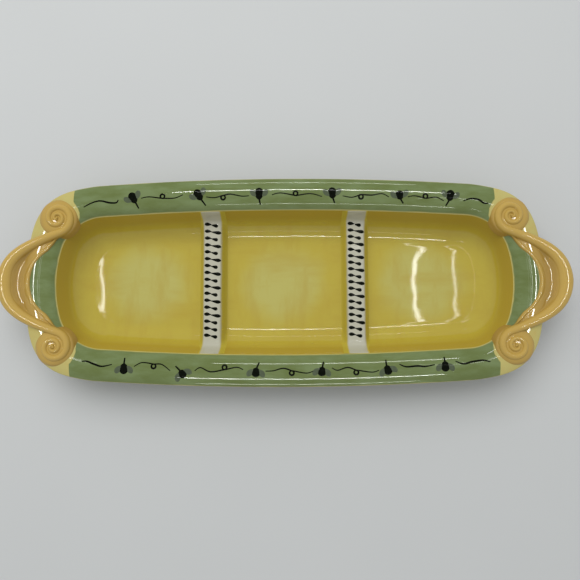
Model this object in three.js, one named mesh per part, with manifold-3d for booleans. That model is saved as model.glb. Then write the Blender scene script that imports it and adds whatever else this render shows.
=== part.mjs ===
// Divided condiment dish: a glazed earthenware serving dish with three wells, a broad painted lip
// and a scrolled handle at each end, taken apart into the clay pieces that are luted together with slip.
// Millimetres, +Z up, X along the dish. The origin is on the table, under the middle of the foot ring.
import * as THREE from "three";
import { mergeVertices } from "three/addons/utils/BufferGeometryUtils.js";
import Module from "manifold-3d";

const wasm = await Module();
wasm.setup();

// Trough: the open well, measured at the line where its wall meets the lip
const WELL_LENGTH = 371;
const WELL_WIDTH = 117;
const SIDE_BOW_RADIUS = 2200;
const END_BOW_RADIUS = 100;
const CORNER_RADIUS = 36;
const WELL_DEPTH = 25;
const WALL_LEAN = THREE.MathUtils.degToRad(20); // from upright
const FLOOR_FILLET = 20;
const WALL_THICKNESS = 6;

// Luted joints: the film of slip between two pieces, and the bevelled seat on top of the trough's wall
const SLIP = 0.3;
const SEAT_INNER_DROP = 1;
const SEAT_OUTER_DROP = 5;

// Foot ring, set into a groove under the floor
const FOOT_HEIGHT = 4;
const FOOT_WIDTH = 6;
const FOOT_SETBACK = 5; // from the edge of the flat floor to the ring's centre line
const FOOT_CORNER_RADIUS = 14;
const FOOT_END_RADIUS = 70;
const FOOT_GROOVE = 1.5;
const FOOT_CHAMFER = 1;

// Lip: the broad sloping border round the well
const LIP_WIDTH = 25.2;
const LIP_RISE = 5;
const LIP_SLOPE = THREE.MathUtils.degToRad(51); // where it leaves the well
const LIP_CREST = 15.5; // from the well's outline to the highest line
const LIP_EDGE_RISE = 1.7; // height of the outermost line above the well's outline
const LIP_UNDER_DROP = 2; // of the underside below the well's outline
const LIP_UNDER_ROUND = 4;

// Dividers
const DIVIDER_SPACING = 120;
const DIVIDER_HEIGHT = 11;
const DIVIDER_CREST_WIDTH = 12;
const DIVIDER_FLARE = 6;
const DIVIDER_PROUD = 1.2; // how far its ends stand off the wall
const DIVIDER_BLEND = 7; // height over which the crest turns up the wall

// Handles: a dished grip outside the crescent end of the lip, and one scrolled coil along its edge
const CRESCENT_WIDTH = 19;
const CRESCENT_INSET = 3; // from the side of the grip to the arc that ends the crescent
const HANDLE_REACH = 47; // from the end of the well to the tip of the handle
const BED_RISE = 4; // from the well's outline to the bed that the coil lies on
const GRIP_BEAD = 2; // the grip's inner edge above the bed
const GRIP_DISH_DEPTH = 0.8; // below the bed
const GRIP_DISH_RADIUS = 14;
const GRIP_THICKNESS = 7;
const GRIP_UNDER_ROUND = 6;
const COIL_OVERHANG = 0.5; // how far the coil stands out beyond the grip

// Coil: wide at the tip of the handle, narrowing into a spiral at each end
const COIL_WIDTH = 11;
const COIL_HEIGHT = 5.5;
const TIP_PULL = 22; // how far the coil runs straight across the tip before it turns back
const SCROLL_PULL = 30; // how far it runs straight into the spiral
const SCROLL_END_INSET = 3.2; // from the end of the well to the eye of the spiral
const SCROLL_SIDE_INSET = 6.7; // from the side of the well to the eye of the spiral
const SCROLL_RADIUS = 12.6; // of the coil's centre line where the spiral starts
const SCROLL_START = THREE.MathUtils.degToRad(-105);
const SCROLL_TURNS = 1.7;
const SCROLL_COIL_WIDTH = 5;
const SCROLL_GAP = 0.6; // between one turn and the next
const SCROLL_HEIGHT = 4.6;
const SCROLL_EYE_RADIUS = 2.2;
const BOSS_MARGIN = 0.2; // round the spiral, on the boss that carries it
const BOSS_FLARE = 1.7;
const BOSS_DRAFT_HEIGHT = 2.5;
const RIM_SETBACK = 12.1; // from the eye to the end of the long rim
const GRIP_SETBACK = 11.4; // from the eye to the side of the grip

// Facets of the round stretches
const END_STEPS = 4;
const CORNER_STEPS = 8;
const SIDE_STEPS = 6;
const FILLET_STEPS = 5;
const LIP_STEPS = 4;
const EDGE_STEPS = 3;
const DIVIDER_STEPS = 18;
const FLANK_STEPS = 4;
const COIL_STEPS = 12;
const SPIRAL_STEPS = 16; // in each turn
const SECTION_STEPS = 6;
const BOSS_STEPS = 28;
const GRIP_STEPS = 40;

// Levels
const BASE_Z = FOOT_HEIGHT;
const FLOOR_Z = BASE_Z + WALL_THICKNESS;
const BORDER_Z = FLOOR_Z + WELL_DEPTH;
const BED_Z = BORDER_Z + BED_RISE;
const CLEAR_Z = BED_Z + COIL_HEIGHT + WELL_DEPTH; // above everything
const BELOW_Z = -FOOT_HEIGHT; // below everything
const FAR = WELL_LENGTH; // outside everything

const SCROLL_X = WELL_LENGTH / 2 - SCROLL_END_INSET;
const SCROLL_Y = WELL_WIDTH / 2 - SCROLL_SIDE_INSET;
const SCROLL_EYE = new THREE.Vector2(SCROLL_X, SCROLL_Y);
const BOSS_RADIUS = SCROLL_RADIUS + SCROLL_COIL_WIDTH / 2 + BOSS_MARGIN;
const RIM_HALF = SCROLL_X - RIM_SETBACK;
const GRIP_HALF = SCROLL_Y - GRIP_SETBACK;
const GRIP_ARC_RADIUS = GRIP_HALF - CRESCENT_INSET;
const GRIP_CENTRE_X = WELL_LENGTH / 2 + CRESCENT_WIDTH - GRIP_ARC_RADIUS;
const TIP_X = WELL_LENGTH / 2 + HANDLE_REACH;

const finish = (color, roughness) => new THREE.MeshStandardMaterial({ color, roughness, metalness: 0 });
const glaze = (color) => finish(color, 0.12);
const YELLOW_GLAZE = glaze(0xbda94a);
const GREEN_GLAZE = glaze(0x7d8c56);
const PEACH_GLAZE = glaze(0xcda257);
const CREAM_GLAZE = glaze(0xd8d39a);
const WHITE_GLAZE = glaze(0xc9c3b4);
const BISQUE = finish(0xd9cbb2, 0.85);

// A closed outline of arcs: two bowed sides, two bowed ends and four rounded corners.
class BowedOutline {
  constructor(length, width, sideRadius, endRadius, cornerRadius) {
    this.side = { centre: new THREE.Vector2(0, width / 2 - sideRadius), radius: sideRadius };
    this.end = { centre: new THREE.Vector2(length / 2 - endRadius, 0), radius: endRadius };
    const axis = this.end.centre.clone().sub(this.side.centre);
    const apart = axis.length();
    const toSide = sideRadius - cornerRadius;
    const toEnd = endRadius - cornerRadius;
    const along = (toSide ** 2 - toEnd ** 2 + apart ** 2) / (2 * apart);
    const across = Math.sqrt(toSide ** 2 - along ** 2);
    axis.normalize();
    const centre = this.side.centre.clone().addScaledVector(axis, along);
    centre.addScaledVector(new THREE.Vector2(axis.y, -axis.x), across);
    this.corner = { centre, radius: cornerRadius };
  }

  // Half the width between the two bowed sides at a place along X.
  halfWidthAt(x) {
    return this.side.centre.y + Math.sqrt(this.side.radius ** 2 - x ** 2);
  }

  // The quarter from the +X end to the +Y side, with every arc moved outwards by the offset.
  quarter(offset) {
    const endAngle = this.corner.centre.clone().sub(this.end.centre).angle();
    const sideAngle = this.corner.centre.clone().sub(this.side.centre).angle();
    const arc = (of, from, to, steps) =>
      Array.from({ length: steps }, (_, i) => {
        const angle = from + ((to - from) * i) / steps;
        const reach = of.radius + offset;
        return new THREE.Vector2(Math.cos(angle), Math.sin(angle)).multiplyScalar(reach).add(of.centre);
      });
    return [
      ...arc(this.end, 0, endAngle, END_STEPS),
      ...arc(this.corner, endAngle, sideAngle, CORNER_STEPS),
      ...arc(this.side, sideAngle, Math.PI / 2, SIDE_STEPS),
      new THREE.Vector2(0, this.side.centre.y + this.side.radius + offset),
    ];
  }

  // The whole outline, anticlockwise, at one height.
  ring(offset, z) {
    const quarter = this.quarter(offset);
    const flip = (points, x, y) => points.map((p) => new THREE.Vector3(p.x * x, p.y * y, z));
    const back = quarter.slice(0, -1).reverse();
    return [
      ...flip(quarter, 1, 1),
      ...flip(back, -1, 1),
      ...flip(quarter.slice(1), -1, -1),
      ...flip(back.slice(0, -1), 1, -1),
    ];
  }
}

// A skin over rings of equally many points. Open ends are closed by fans; a looped skin has none.
function skin(rings, looped = false) {
  const count = rings[0].length;
  const points = rings.flat();
  const faces = [];
  const last = looped ? rings.length : rings.length - 1;
  for (let i = 0; i < last; i++) {
    const here = i * count;
    const next = ((i + 1) % rings.length) * count;
    for (let j = 0; j < count; j++) {
      const k = (j + 1) % count;
      faces.push(here + j, next + j, next + k, here + j, next + k, here + k);
    }
  }
  if (!looped) {
    const middle = (ring) => ring.reduce((sum, p) => sum.add(p), new THREE.Vector3()).divideScalar(count);
    const first = points.push(middle(rings[0])) - 1;
    const final = points.push(middle(rings.at(-1))) - 1;
    const start = (rings.length - 1) * count;
    for (let j = 0; j < count; j++) {
      const k = (j + 1) % count;
      faces.push(first, j, k, final, start + k, start + j);
    }
  }
  const geometry = new THREE.BufferGeometry().setFromPoints(points);
  return geometry.setIndex(faces);
}

// A geometry as a solid that can be joined and cut.
function solid(geometry) {
  const bare = geometry.clone();
  bare.deleteAttribute("normal");
  bare.deleteAttribute("uv");
  const merged = mergeVertices(bare, 1e-4);
  const vertProperties = new Float32Array(merged.attributes.position.array);
  const triVerts = new Uint32Array(merged.index.array);
  return new wasm.Manifold(new wasm.Mesh({ numProp: 3, vertProperties, triVerts }));
}

// A named piece of the dish. The ends and sides are mirror images, so flip gives the signs of X and Y.
function piece(name, made, material, flip = [1, 1]) {
  const { vertProperties, triVerts } = made.getMesh();
  const geometry = new THREE.BufferGeometry();
  geometry.setAttribute("position", new THREE.BufferAttribute(vertProperties, 3));
  geometry.setIndex(new THREE.BufferAttribute(triVerts, 1));
  geometry.computeVertexNormals();
  const mesh = new THREE.Mesh(geometry, material);
  mesh.name = name;
  mesh.scale.set(flip[0], flip[1], 1);
  return mesh;
}

const upright = (radius, low, high, x, y) =>
  solid(
    new THREE.CylinderGeometry(radius, radius, high - low, BOSS_STEPS)
      .rotateX(Math.PI / 2)
      .translate(x, y, (low + high) / 2),
  );

const block = (low, high) =>
  solid(
    new THREE.BoxGeometry(high[0] - low[0], high[1] - low[1], high[2] - low[2]).translate(
      (low[0] + high[0]) / 2,
      (low[1] + high[1]) / 2,
      (low[2] + high[2]) / 2,
    ),
  );

const turned = (profile, steps, x, y) =>
  solid(new THREE.LatheGeometry(profile, steps).rotateX(Math.PI / 2).translate(x, y, 0));

// The wall's section, across the wall: offset outwards from the well's outline, and height.
const FILLET_RISE = FLOOR_FILLET * (1 - Math.sin(WALL_LEAN));
const FLOOR_OFFSET = -FLOOR_FILLET * Math.cos(WALL_LEAN) - (WELL_DEPTH - FILLET_RISE) * Math.tan(WALL_LEAN);
const FILLET_Z = FLOOR_Z + FLOOR_FILLET;
const wallOffset = (drop) => -drop * Math.tan(WALL_LEAN);
const outerOffset = (drop) => wallOffset(drop) + WALL_THICKNESS / Math.cos(WALL_LEAN);

const wellOutline = new BowedOutline(
  WELL_LENGTH,
  WELL_WIDTH,
  SIDE_BOW_RADIUS,
  END_BOW_RADIUS,
  CORNER_RADIUS,
);
const FOOT_INSET = FOOT_SETBACK - FLOOR_OFFSET;
const footOutline = new BowedOutline(
  WELL_LENGTH - 2 * FOOT_INSET,
  WELL_WIDTH - 2 * FOOT_INSET,
  SIDE_BOW_RADIUS,
  FOOT_END_RADIUS,
  FOOT_CORNER_RADIUS,
);

// The rounded foot of the wall, from the floor up to where the wall runs straight.
function coveArc(radius) {
  const top = Math.PI / 2 - WALL_LEAN;
  return Array.from({ length: FILLET_STEPS + 1 }, (_, i) => {
    const angle = (top * i) / FILLET_STEPS;
    return new THREE.Vector2(FLOOR_OFFSET + radius * Math.sin(angle), FILLET_Z - radius * Math.cos(angle));
  });
}

// Height of the well's inner face above the floor, at an offset from its outline.
function wellRise(offset) {
  const run = offset - FLOOR_OFFSET;
  if (run <= 0) return 0;
  if (run > FLOOR_FILLET * Math.cos(WALL_LEAN)) return WELL_DEPTH + offset / Math.tan(WALL_LEAN);
  return FLOOR_FILLET - Math.sqrt(FLOOR_FILLET ** 2 - run ** 2);
}

function makeTrough() {
  const rings = coveArc(FLOOR_FILLET).map((p) => wellOutline.ring(p.x, p.y));
  rings.push(wellOutline.ring(wallOffset(SEAT_INNER_DROP), BORDER_Z - SEAT_INNER_DROP));
  rings.push(wellOutline.ring(outerOffset(SEAT_OUTER_DROP), BORDER_Z - SEAT_OUTER_DROP));
  const outside = coveArc(FLOOR_FILLET + WALL_THICKNESS).reverse();
  rings.push(...outside.map((p) => wellOutline.ring(p.x, p.y)));
  const half = FOOT_WIDTH / 2 + SLIP;
  rings.push(footOutline.ring(half, BASE_Z), footOutline.ring(half, BASE_Z + FOOT_GROOVE));
  rings.push(footOutline.ring(-half, BASE_Z + FOOT_GROOVE), footOutline.ring(-half, BASE_Z));
  return solid(skin(rings));
}

function makeFootRing() {
  const half = FOOT_WIDTH / 2;
  const top = BASE_Z + FOOT_GROOVE - SLIP;
  const section = [
    [-half, top],
    [half, top],
    [half, FOOT_CHAMFER],
    [half - FOOT_CHAMFER, 0],
    [FOOT_CHAMFER - half, 0],
    [-half, FOOT_CHAMFER],
  ];
  return solid(
    skin(
      section.map(([offset, z]) => footOutline.ring(offset, z)),
      true,
    ),
  );
}

// The whole lip as one ring. Its parts are cut from it, so that they share one section and one seat.
function makeLip() {
  const vector = (x, y) => new THREE.Vector2(x, y);
  const quarterRound = (centre, x, y, from) =>
    Array.from({ length: EDGE_STEPS + 1 }, (_, i) => {
      const angle = from - (Math.PI / 2) * (i / EDGE_STEPS);
      return vector(centre.x + x * Math.cos(angle), centre.y + y * Math.sin(angle));
    });
  const slope = new THREE.QuadraticBezierCurve(
    vector(0, 0),
    vector(LIP_RISE / Math.tan(LIP_SLOPE), LIP_RISE),
    vector(LIP_CREST, LIP_RISE),
  );
  const seatInner = vector(wallOffset(SEAT_INNER_DROP), SLIP - SEAT_INNER_DROP);
  const seatOuter = vector(outerOffset(SEAT_OUTER_DROP), SLIP - SEAT_OUTER_DROP);
  const edge = vector(LIP_WIDTH, LIP_EDGE_RISE);
  const crest = quarterRound(
    vector(LIP_CREST, edge.y),
    edge.x - LIP_CREST,
    LIP_RISE - edge.y,
    Math.PI / 2,
  );
  const lower = quarterRound(
    vector(edge.x - LIP_UNDER_ROUND, edge.y),
    LIP_UNDER_ROUND,
    edge.y + LIP_UNDER_DROP,
    0,
  );
  const under = new THREE.QuadraticBezierCurve(
    lower.at(-1),
    vector(seatOuter.x + LIP_UNDER_ROUND, -LIP_UNDER_DROP),
    seatOuter,
  );
  const section = [
    ...slope.getPoints(LIP_STEPS).slice(0, -1),
    ...crest.slice(0, -1),
    ...lower.slice(0, -1),
    ...under.getPoints(LIP_STEPS),
    seatInner,
  ];
  return solid(
    skin(
      section.map((p) => wellOutline.ring(p.x, BORDER_Z + p.y)),
      true,
    ),
  );
}

// The space inside the well, a film of slip clear of its floor and wall.
function makeWellSpace() {
  const cove = coveArc(FLOOR_FILLET - SLIP);
  const rings = cove.map((p) => wellOutline.ring(p.x, p.y));
  const top = -SLIP / Math.cos(WALL_LEAN);
  rings.push(wellOutline.ring(top, BORDER_Z));
  return solid(skin(rings.reverse()));
}

// A ridge across the well at +X, with flared flanks, whose crest turns up the wall at both ends.
function makeDivider(wellSpace) {
  const x = DIVIDER_SPACING / 2;
  const reach = wellOutline.halfWidthAt(x);
  const crestHalf = DIVIDER_CREST_WIDTH / 2;
  const flank = Array.from({ length: FLANK_STEPS + 1 }, (_, i) => {
    const share = i / FLANK_STEPS;
    return new THREE.Vector2(crestHalf + DIVIDER_FLARE * share, (1 + Math.cos(Math.PI * share)) / 2);
  });
  const mirrored = flank.map((p) => new THREE.Vector2(-p.x, p.y)).reverse();
  const crestRise = (wall) => {
    const mix = Math.max(DIVIDER_BLEND - Math.abs(wall - DIVIDER_HEIGHT), 0) / DIVIDER_BLEND;
    return Math.max(wall, DIVIDER_HEIGHT) + (mix ** 2 * DIVIDER_BLEND) / 4;
  };
  const rings = Array.from({ length: DIVIDER_STEPS + 1 }, (_, i) => {
    const y = reach * Math.sin(Math.PI * (i / DIVIDER_STEPS - 0.5));
    const wall = wellRise(Math.abs(y) - reach);
    const rise = crestRise(wall + DIVIDER_PROUD) - wall;
    const top = [...flank.slice().reverse(), ...mirrored.slice().reverse()].map(
      (p) => new THREE.Vector3(x + p.x, y, FLOOR_Z + wall + rise * p.y),
    );
    const foot = crestHalf + DIVIDER_FLARE;
    const low = [new THREE.Vector3(x - foot, y, BELOW_Z), new THREE.Vector3(x + foot, y, BELOW_Z)];
    return [...top, ...low];
  });
  return solid(skin(rings)).intersect(wellSpace);
}

// Half of the coil's centre line, from the tip of the handle to the eye of the scroll at +Y.
function coilStations() {
  const tipHalf = COIL_WIDTH / 2;
  const tip = new THREE.Vector2(TIP_X - tipHalf, 0);
  const pitch = (SCROLL_COIL_WIDTH + SCROLL_GAP) / (2 * Math.PI);
  const spiralAt = (angle) => {
    const radius = SCROLL_RADIUS - pitch * angle;
    const spoke = new THREE.Vector2(Math.cos(SCROLL_START - angle), Math.sin(SCROLL_START - angle));
    const round = new THREE.Vector2(spoke.y, -spoke.x);
    const along = round.multiplyScalar(radius).addScaledVector(spoke, -pitch).normalize();
    const point = spoke.multiplyScalar(radius).add(SCROLL_EYE);
    return { point, along, half: SCROLL_COIL_WIDTH / 2, rise: SCROLL_HEIGHT };
  };
  const entry = spiralAt(0);
  const curve = new THREE.CubicBezierCurve(
    tip,
    tip.clone().add(new THREE.Vector2(0, TIP_PULL)),
    entry.point.clone().addScaledVector(entry.along, -SCROLL_PULL),
    entry.point,
  );
  const roll = Array.from({ length: COIL_STEPS }, (_, i) => {
    const share = i / COIL_STEPS;
    return {
      point: curve.getPoint(share),
      along: curve.getTangent(share),
      half: THREE.MathUtils.lerp(tipHalf, entry.half, share),
      rise: THREE.MathUtils.lerp(COIL_HEIGHT, SCROLL_HEIGHT, share),
    };
  });
  const steps = Math.round(SPIRAL_STEPS * SCROLL_TURNS);
  const sweep = 2 * Math.PI * SCROLL_TURNS;
  const spiral = Array.from({ length: steps + 1 }, (_, i) => spiralAt((sweep * i) / steps));
  return { roll, spiral };
}

// The same stations from the -Y end to the +Y end.
function bothHalves(stations) {
  const mirrored = stations.slice(1).map((s) => ({
    ...s,
    point: new THREE.Vector2(s.point.x, -s.point.y),
    along: new THREE.Vector2(-s.along.x, s.along.y),
  }));
  return [...mirrored.reverse(), ...stations];
}

// A coil with a flat base laid along stations: a half-round section from its right side to its left.
function layCoil(stations) {
  return solid(
    skin(
      stations.map(({ point, along, half, rise }) =>
        Array.from({ length: SECTION_STEPS + 1 }, (_, i) => {
          const angle = (Math.PI * i) / SECTION_STEPS;
          const side = half * Math.cos(angle);
          return new THREE.Vector3(
            point.x + along.y * side,
            point.y - along.x * side,
            BED_Z + rise * Math.sin(angle),
          );
        }),
      ),
    ),
  );
}

// The room that the coil takes above its bed, a film of slip wider on each side.
function coilRoom(stations) {
  const low = BED_Z - SLIP;
  return solid(
    skin(
      stations.map(({ point, along, half }) =>
        [
          [1, low],
          [1, CLEAR_Z],
          [-1, CLEAR_Z],
          [-1, low],
        ].map(([side, z]) => {
          const reach = side * (half + SLIP);
          return new THREE.Vector3(point.x + along.y * reach, point.y - along.x * reach, z);
        }),
      ),
    ),
  );
}

function makeScroll({ roll, spiral }) {
  const eye = [
    new THREE.Vector2(0, BED_Z),
    new THREE.Vector2(SCROLL_EYE_RADIUS, BED_Z),
    new THREE.Vector2(SCROLL_EYE_RADIUS, BED_Z + SCROLL_HEIGHT * 0.5),
    new THREE.Vector2(SCROLL_EYE_RADIUS * 0.7, BED_Z + SCROLL_HEIGHT * 0.9),
    new THREE.Vector2(0, BED_Z + SCROLL_HEIGHT),
  ];
  const coil = layCoil(bothHalves([...roll, ...spiral]));
  return [1, -1].reduce(
    (made, side) => made.add(turned(eye, BOSS_STEPS / 2, SCROLL_X, side * SCROLL_Y)),
    coil,
  );
}

// The grip's slab, from inside the lip out to the edge of the coil, with a rounded lower edge.
function makeGripSlab({ roll }) {
  const edge = bothHalves(roll);
  const low = BED_Z - GRIP_DISH_DEPTH - GRIP_THICKNESS;
  const ringAt = (inset, z) => {
    const outer = edge.map(({ point, along, half }) => {
      const reach = half - COIL_OVERHANG - inset;
      return new THREE.Vector3(point.x + along.y * reach, point.y - along.x * reach, z);
    });
    const inner = [outer.at(-1), outer[0]].map((p) => new THREE.Vector3(GRIP_CENTRE_X, p.y, z));
    return [...outer, ...inner];
  };
  const rounding = Array.from({ length: EDGE_STEPS + 1 }, (_, i) => {
    const angle = (Math.PI / 2) * (i / EDGE_STEPS);
    return ringAt(GRIP_UNDER_ROUND * (1 - Math.cos(angle)), low + GRIP_UNDER_ROUND * (1 - Math.sin(angle)));
  });
  return solid(skin([ringAt(0, BED_Z + GRIP_BEAD), ...rounding]));
}

// Cutters at the +X end
const arcCut = (radius) => upright(radius, BELOW_Z, CLEAR_Z, GRIP_CENTRE_X, 0);
const bossRoom = (end, side) =>
  upright(BOSS_RADIUS + BOSS_FLARE + SLIP, BELOW_Z, CLEAR_Z, end * SCROLL_X, side * SCROLL_Y);

function makeGrip(lip, stations) {
  const zone = block([0, -GRIP_HALF, BELOW_Z], [FAR, GRIP_HALF, CLEAR_Z]);
  const dish = new THREE.EllipseCurve(
    (GRIP_ARC_RADIUS + TIP_X - GRIP_CENTRE_X - COIL_WIDTH) / 2,
    BED_Z - GRIP_DISH_DEPTH + GRIP_DISH_RADIUS,
    GRIP_DISH_RADIUS,
    GRIP_DISH_RADIUS,
  );
  const dishCut = turned(dish.getPoints(GRIP_STEPS / 2), GRIP_STEPS, GRIP_CENTRE_X, 0);
  const seat = outerOffset(SEAT_OUTER_DROP) + SLIP;
  const overTrough = solid(skin([wellOutline.ring(seat, CLEAR_Z), wellOutline.ring(seat, BELOW_Z)]));
  const slab = makeGripSlab(stations).subtract(overTrough);
  return lip
    .add(slab)
    .intersect(zone)
    .subtract(arcCut(GRIP_ARC_RADIUS + SLIP))
    .subtract(dishCut)
    .subtract(coilRoom(bothHalves([...stations.roll, stations.spiral[0]])))
    .subtract(bossRoom(1, 1))
    .subtract(bossRoom(1, -1));
}

function makeCorner(lip, stations) {
  const top = BED_Z - SLIP;
  const boss = turned(
    [
      new THREE.Vector2(0, BORDER_Z),
      new THREE.Vector2(BOSS_RADIUS + BOSS_FLARE, BORDER_Z),
      new THREE.Vector2(BOSS_RADIUS + BOSS_FLARE, top - BOSS_DRAFT_HEIGHT),
      new THREE.Vector2(BOSS_RADIUS, top),
      new THREE.Vector2(0, top),
    ],
    BOSS_STEPS,
    SCROLL_X,
    SCROLL_Y,
  );
  const zone = block([RIM_HALF + SLIP, GRIP_HALF + SLIP, BELOW_Z], [FAR, FAR, CLEAR_Z]);
  return lip
    .intersect(zone)
    .add(boss)
    .subtract(upright(BOSS_RADIUS, top, CLEAR_Z, SCROLL_X, SCROLL_Y))
    .subtract(coilRoom([...stations.roll, stations.spiral[0]]));
}

function makeRim(lip) {
  const zone = block([-RIM_HALF, 0, BELOW_Z], [RIM_HALF, FAR, CLEAR_Z]);
  return lip.intersect(zone).subtract(bossRoom(1, 1)).subtract(bossRoom(-1, 1));
}

function makeCrescent(lip) {
  const zone = block([0, -GRIP_HALF, BELOW_Z], [FAR, GRIP_HALF, CLEAR_Z]);
  return lip
    .intersect(zone)
    .intersect(arcCut(GRIP_ARC_RADIUS))
    .subtract(bossRoom(1, 1))
    .subtract(bossRoom(1, -1));
}

const lip = makeLip();
const stations = coilStations();
const divider = makeDivider(makeWellSpace());
const rim = makeRim(lip);
const crescent = makeCrescent(lip);
const corner = makeCorner(lip, stations);
const grip = makeGrip(lip, stations);
const scroll = makeScroll(stations);

const dish = new THREE.Group();
dish.add(piece("trough", makeTrough(), YELLOW_GLAZE));
dish.add(piece("foot_ring", makeFootRing(), BISQUE));
for (const [sideName, side] of [["back", 1], ["front", -1]]) {
  dish.add(piece(`rim_${sideName}`, rim, GREEN_GLAZE, [1, side]));
}
for (const [endName, end] of [["left", -1], ["right", 1]]) {
  dish.add(piece(`divider_${endName}`, divider, WHITE_GLAZE, [end, 1]));
  dish.add(piece(`crescent_${endName}`, crescent, GREEN_GLAZE, [end, 1]));
  dish.add(piece(`grip_${endName}`, grip, PEACH_GLAZE, [end, 1]));
  dish.add(piece(`scroll_${endName}`, scroll, PEACH_GLAZE, [end, 1]));
  for (const [sideName, side] of [["back", 1], ["front", -1]]) {
    dish.add(piece(`corner_${endName}_${sideName}`, corner, CREAM_GLAZE, [end, side]));
  }
}

export default dish;
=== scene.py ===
"""Dresses a divided condiment dish: glazed earthenware, three wells, a painted lip and scrolled handles."""

import math

import bmesh
import bpy
from bpy.props import FloatProperty, FloatVectorProperty, PointerProperty
from mathutils import Euler, Matrix, Vector
from mathutils.geometry import interpolate_bezier


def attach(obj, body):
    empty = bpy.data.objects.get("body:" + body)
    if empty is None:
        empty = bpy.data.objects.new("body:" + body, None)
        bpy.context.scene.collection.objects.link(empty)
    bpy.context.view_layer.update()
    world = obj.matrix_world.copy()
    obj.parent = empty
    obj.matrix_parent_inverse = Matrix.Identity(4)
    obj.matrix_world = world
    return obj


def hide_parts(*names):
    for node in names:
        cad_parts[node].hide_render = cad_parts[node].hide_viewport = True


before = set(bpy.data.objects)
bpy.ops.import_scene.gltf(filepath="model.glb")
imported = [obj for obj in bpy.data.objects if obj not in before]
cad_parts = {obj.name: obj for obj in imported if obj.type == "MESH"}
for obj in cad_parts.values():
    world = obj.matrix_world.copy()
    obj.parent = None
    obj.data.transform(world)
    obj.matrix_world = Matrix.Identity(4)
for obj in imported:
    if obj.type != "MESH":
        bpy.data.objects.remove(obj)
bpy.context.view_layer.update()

bl_info = {
    "name": "Divided condiment dish",
    "version": (1, 0, 0),
    "blender": (4, 5, 0),
    "location": "View3D > Sidebar > Condiment dish",
    "description": "Builds a glazed and painted earthenware dish with three wells and scrolled handles",
    "category": "Add Mesh",
}

MM = 0.001
Z_AXIS = (0.0, 0.0, 1.0)
ENDS = (("left", -1), ("right", 1))
SIDES = (("back", 1), ("front", -1))
WELD = 0.002 * MM  # points as close as this are one
MIRROR_WELD = 0.001 * MM
SHARP_EDGE = math.radians(40)

# Steps in which the shapes are drawn
ARC_STEP = math.radians(5)  # of a section's arcs
END_STEPS = 28  # round a quarter of the well's outline
CORNER_STEPS = 36
SIDE_STEPS = 30
RIDGE_STEPS = 96  # along a ridge
FLANK_STEPS = 10  # down each of its flanks
COIL_STEPS = 16  # over the coil
ROLL_STEPS = 40  # along half the roll
SPIRAL_STEPS = 44  # in each turn
BOSS_STEPS = 56  # round a boss
HOLLOW_STEPS = 12  # down into a grip's hollow
CLIMB_STEPS = 8  # and up to the roll


# Settings that a user would change


def linear(value):
    """An sRGB colour such as 0xb9b06a as linear red, green and blue."""
    shares = ((value >> shift & 0xFF) / 255 for shift in (16, 8, 0))
    return tuple(s / 12.92 if s <= 0.04045 else ((s + 0.055) / 1.055) ** 2.4 for s in shares)


def length(name, millimetres, description):
    """A size of the dish, written in millimetres."""
    return FloatProperty(
        name=name, description=description, default=millimetres * MM, precision=4, unit="LENGTH"
    )


def angle(name, degrees, description):
    """An angle of a section, written in degrees."""
    return FloatProperty(name=name, description=description, default=math.radians(degrees), subtype="ANGLE")


def colour(name, value, description):
    """A glaze or paint colour, written as an sRGB hex value."""
    return FloatVectorProperty(
        name=name, description=description, default=linear(value), min=0.0, max=1.0, size=3, subtype="COLOR"
    )


class WellSizes(bpy.types.PropertyGroup):
    """The open trough, measured where its wall meets the lip."""

    length: length("Length", 369, "Length of the well between its ends")
    width: length("Width", 117, "Width of the well between its sides")
    side_bow: length("Side bow", 2200, "Radius of the bowed long sides")
    end_bow: length("End bow", 100, "Radius of the bowed ends")
    corner: length("Corner", 36, "Radius of the corners")
    depth: length("Depth", 25, "Depth of the well below the lip")
    lean: angle("Lean", 20, "How far the wall leans out from upright")
    cove: length("Cove", 20, "Radius between floor and wall")
    wall: length("Wall", 6, "Thickness of wall and floor")
    seat_drop: length("Seat drop", 5, "How far the wall's outer edge lies below the lip's inner line")
    foot_height: length("Foot height", 4, "Height of the foot ring under the floor")
    foot_width: length("Foot width", 6, "Width of the foot ring")
    foot_setback: length("Foot setback", 5, "From the edge of the flat floor to the ring's centre line")
    foot_corner: length("Foot corner", 14, "Corner radius of the foot ring")
    foot_end: length("Foot end", 70, "Radius of the foot ring's bowed ends")


class LipSizes(bpy.types.PropertyGroup):
    """The broad border round the well, as arcs that follow each other outwards."""

    inner_slope: angle("Inner slope", 51, "Slope of the lip where it leaves the well")
    inner_round: length("Inner round", 11.25, "Radius of the rise out of the well")
    crown_slope: angle("Crown slope", 14, "Slope where the rise turns into the crown")
    crown: length("Crown", 39.2, "Radius of the flat crown inside the crest")
    shoulder_slope: angle("Shoulder slope", 22, "Slope where the shoulder turns into the edge")
    shoulder: length("Shoulder", 23.9, "Radius of the fall outside the crest")
    edge_round: length("Edge round", 1.8, "Radius of the outer edge")
    under_round: length("Under round", 3.7, "Radius under the outer edge")


class DividerSizes(bpy.types.PropertyGroup):
    """The two ridges that part the wells."""

    spacing: length("Spacing", 120, "Distance between the two ridges")
    height: length("Height", 11, "Height of the ridge above the floor")
    crest: length("Crest", 12, "Width of the flat crest")
    flare: length("Flare", 6, "Width of each flank")
    proud: length("Proud", 1.2, "How far the ridge's ends stand off the wall")
    blend: length("Blend", 7, "Height over which the crest turns up the wall")


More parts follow.
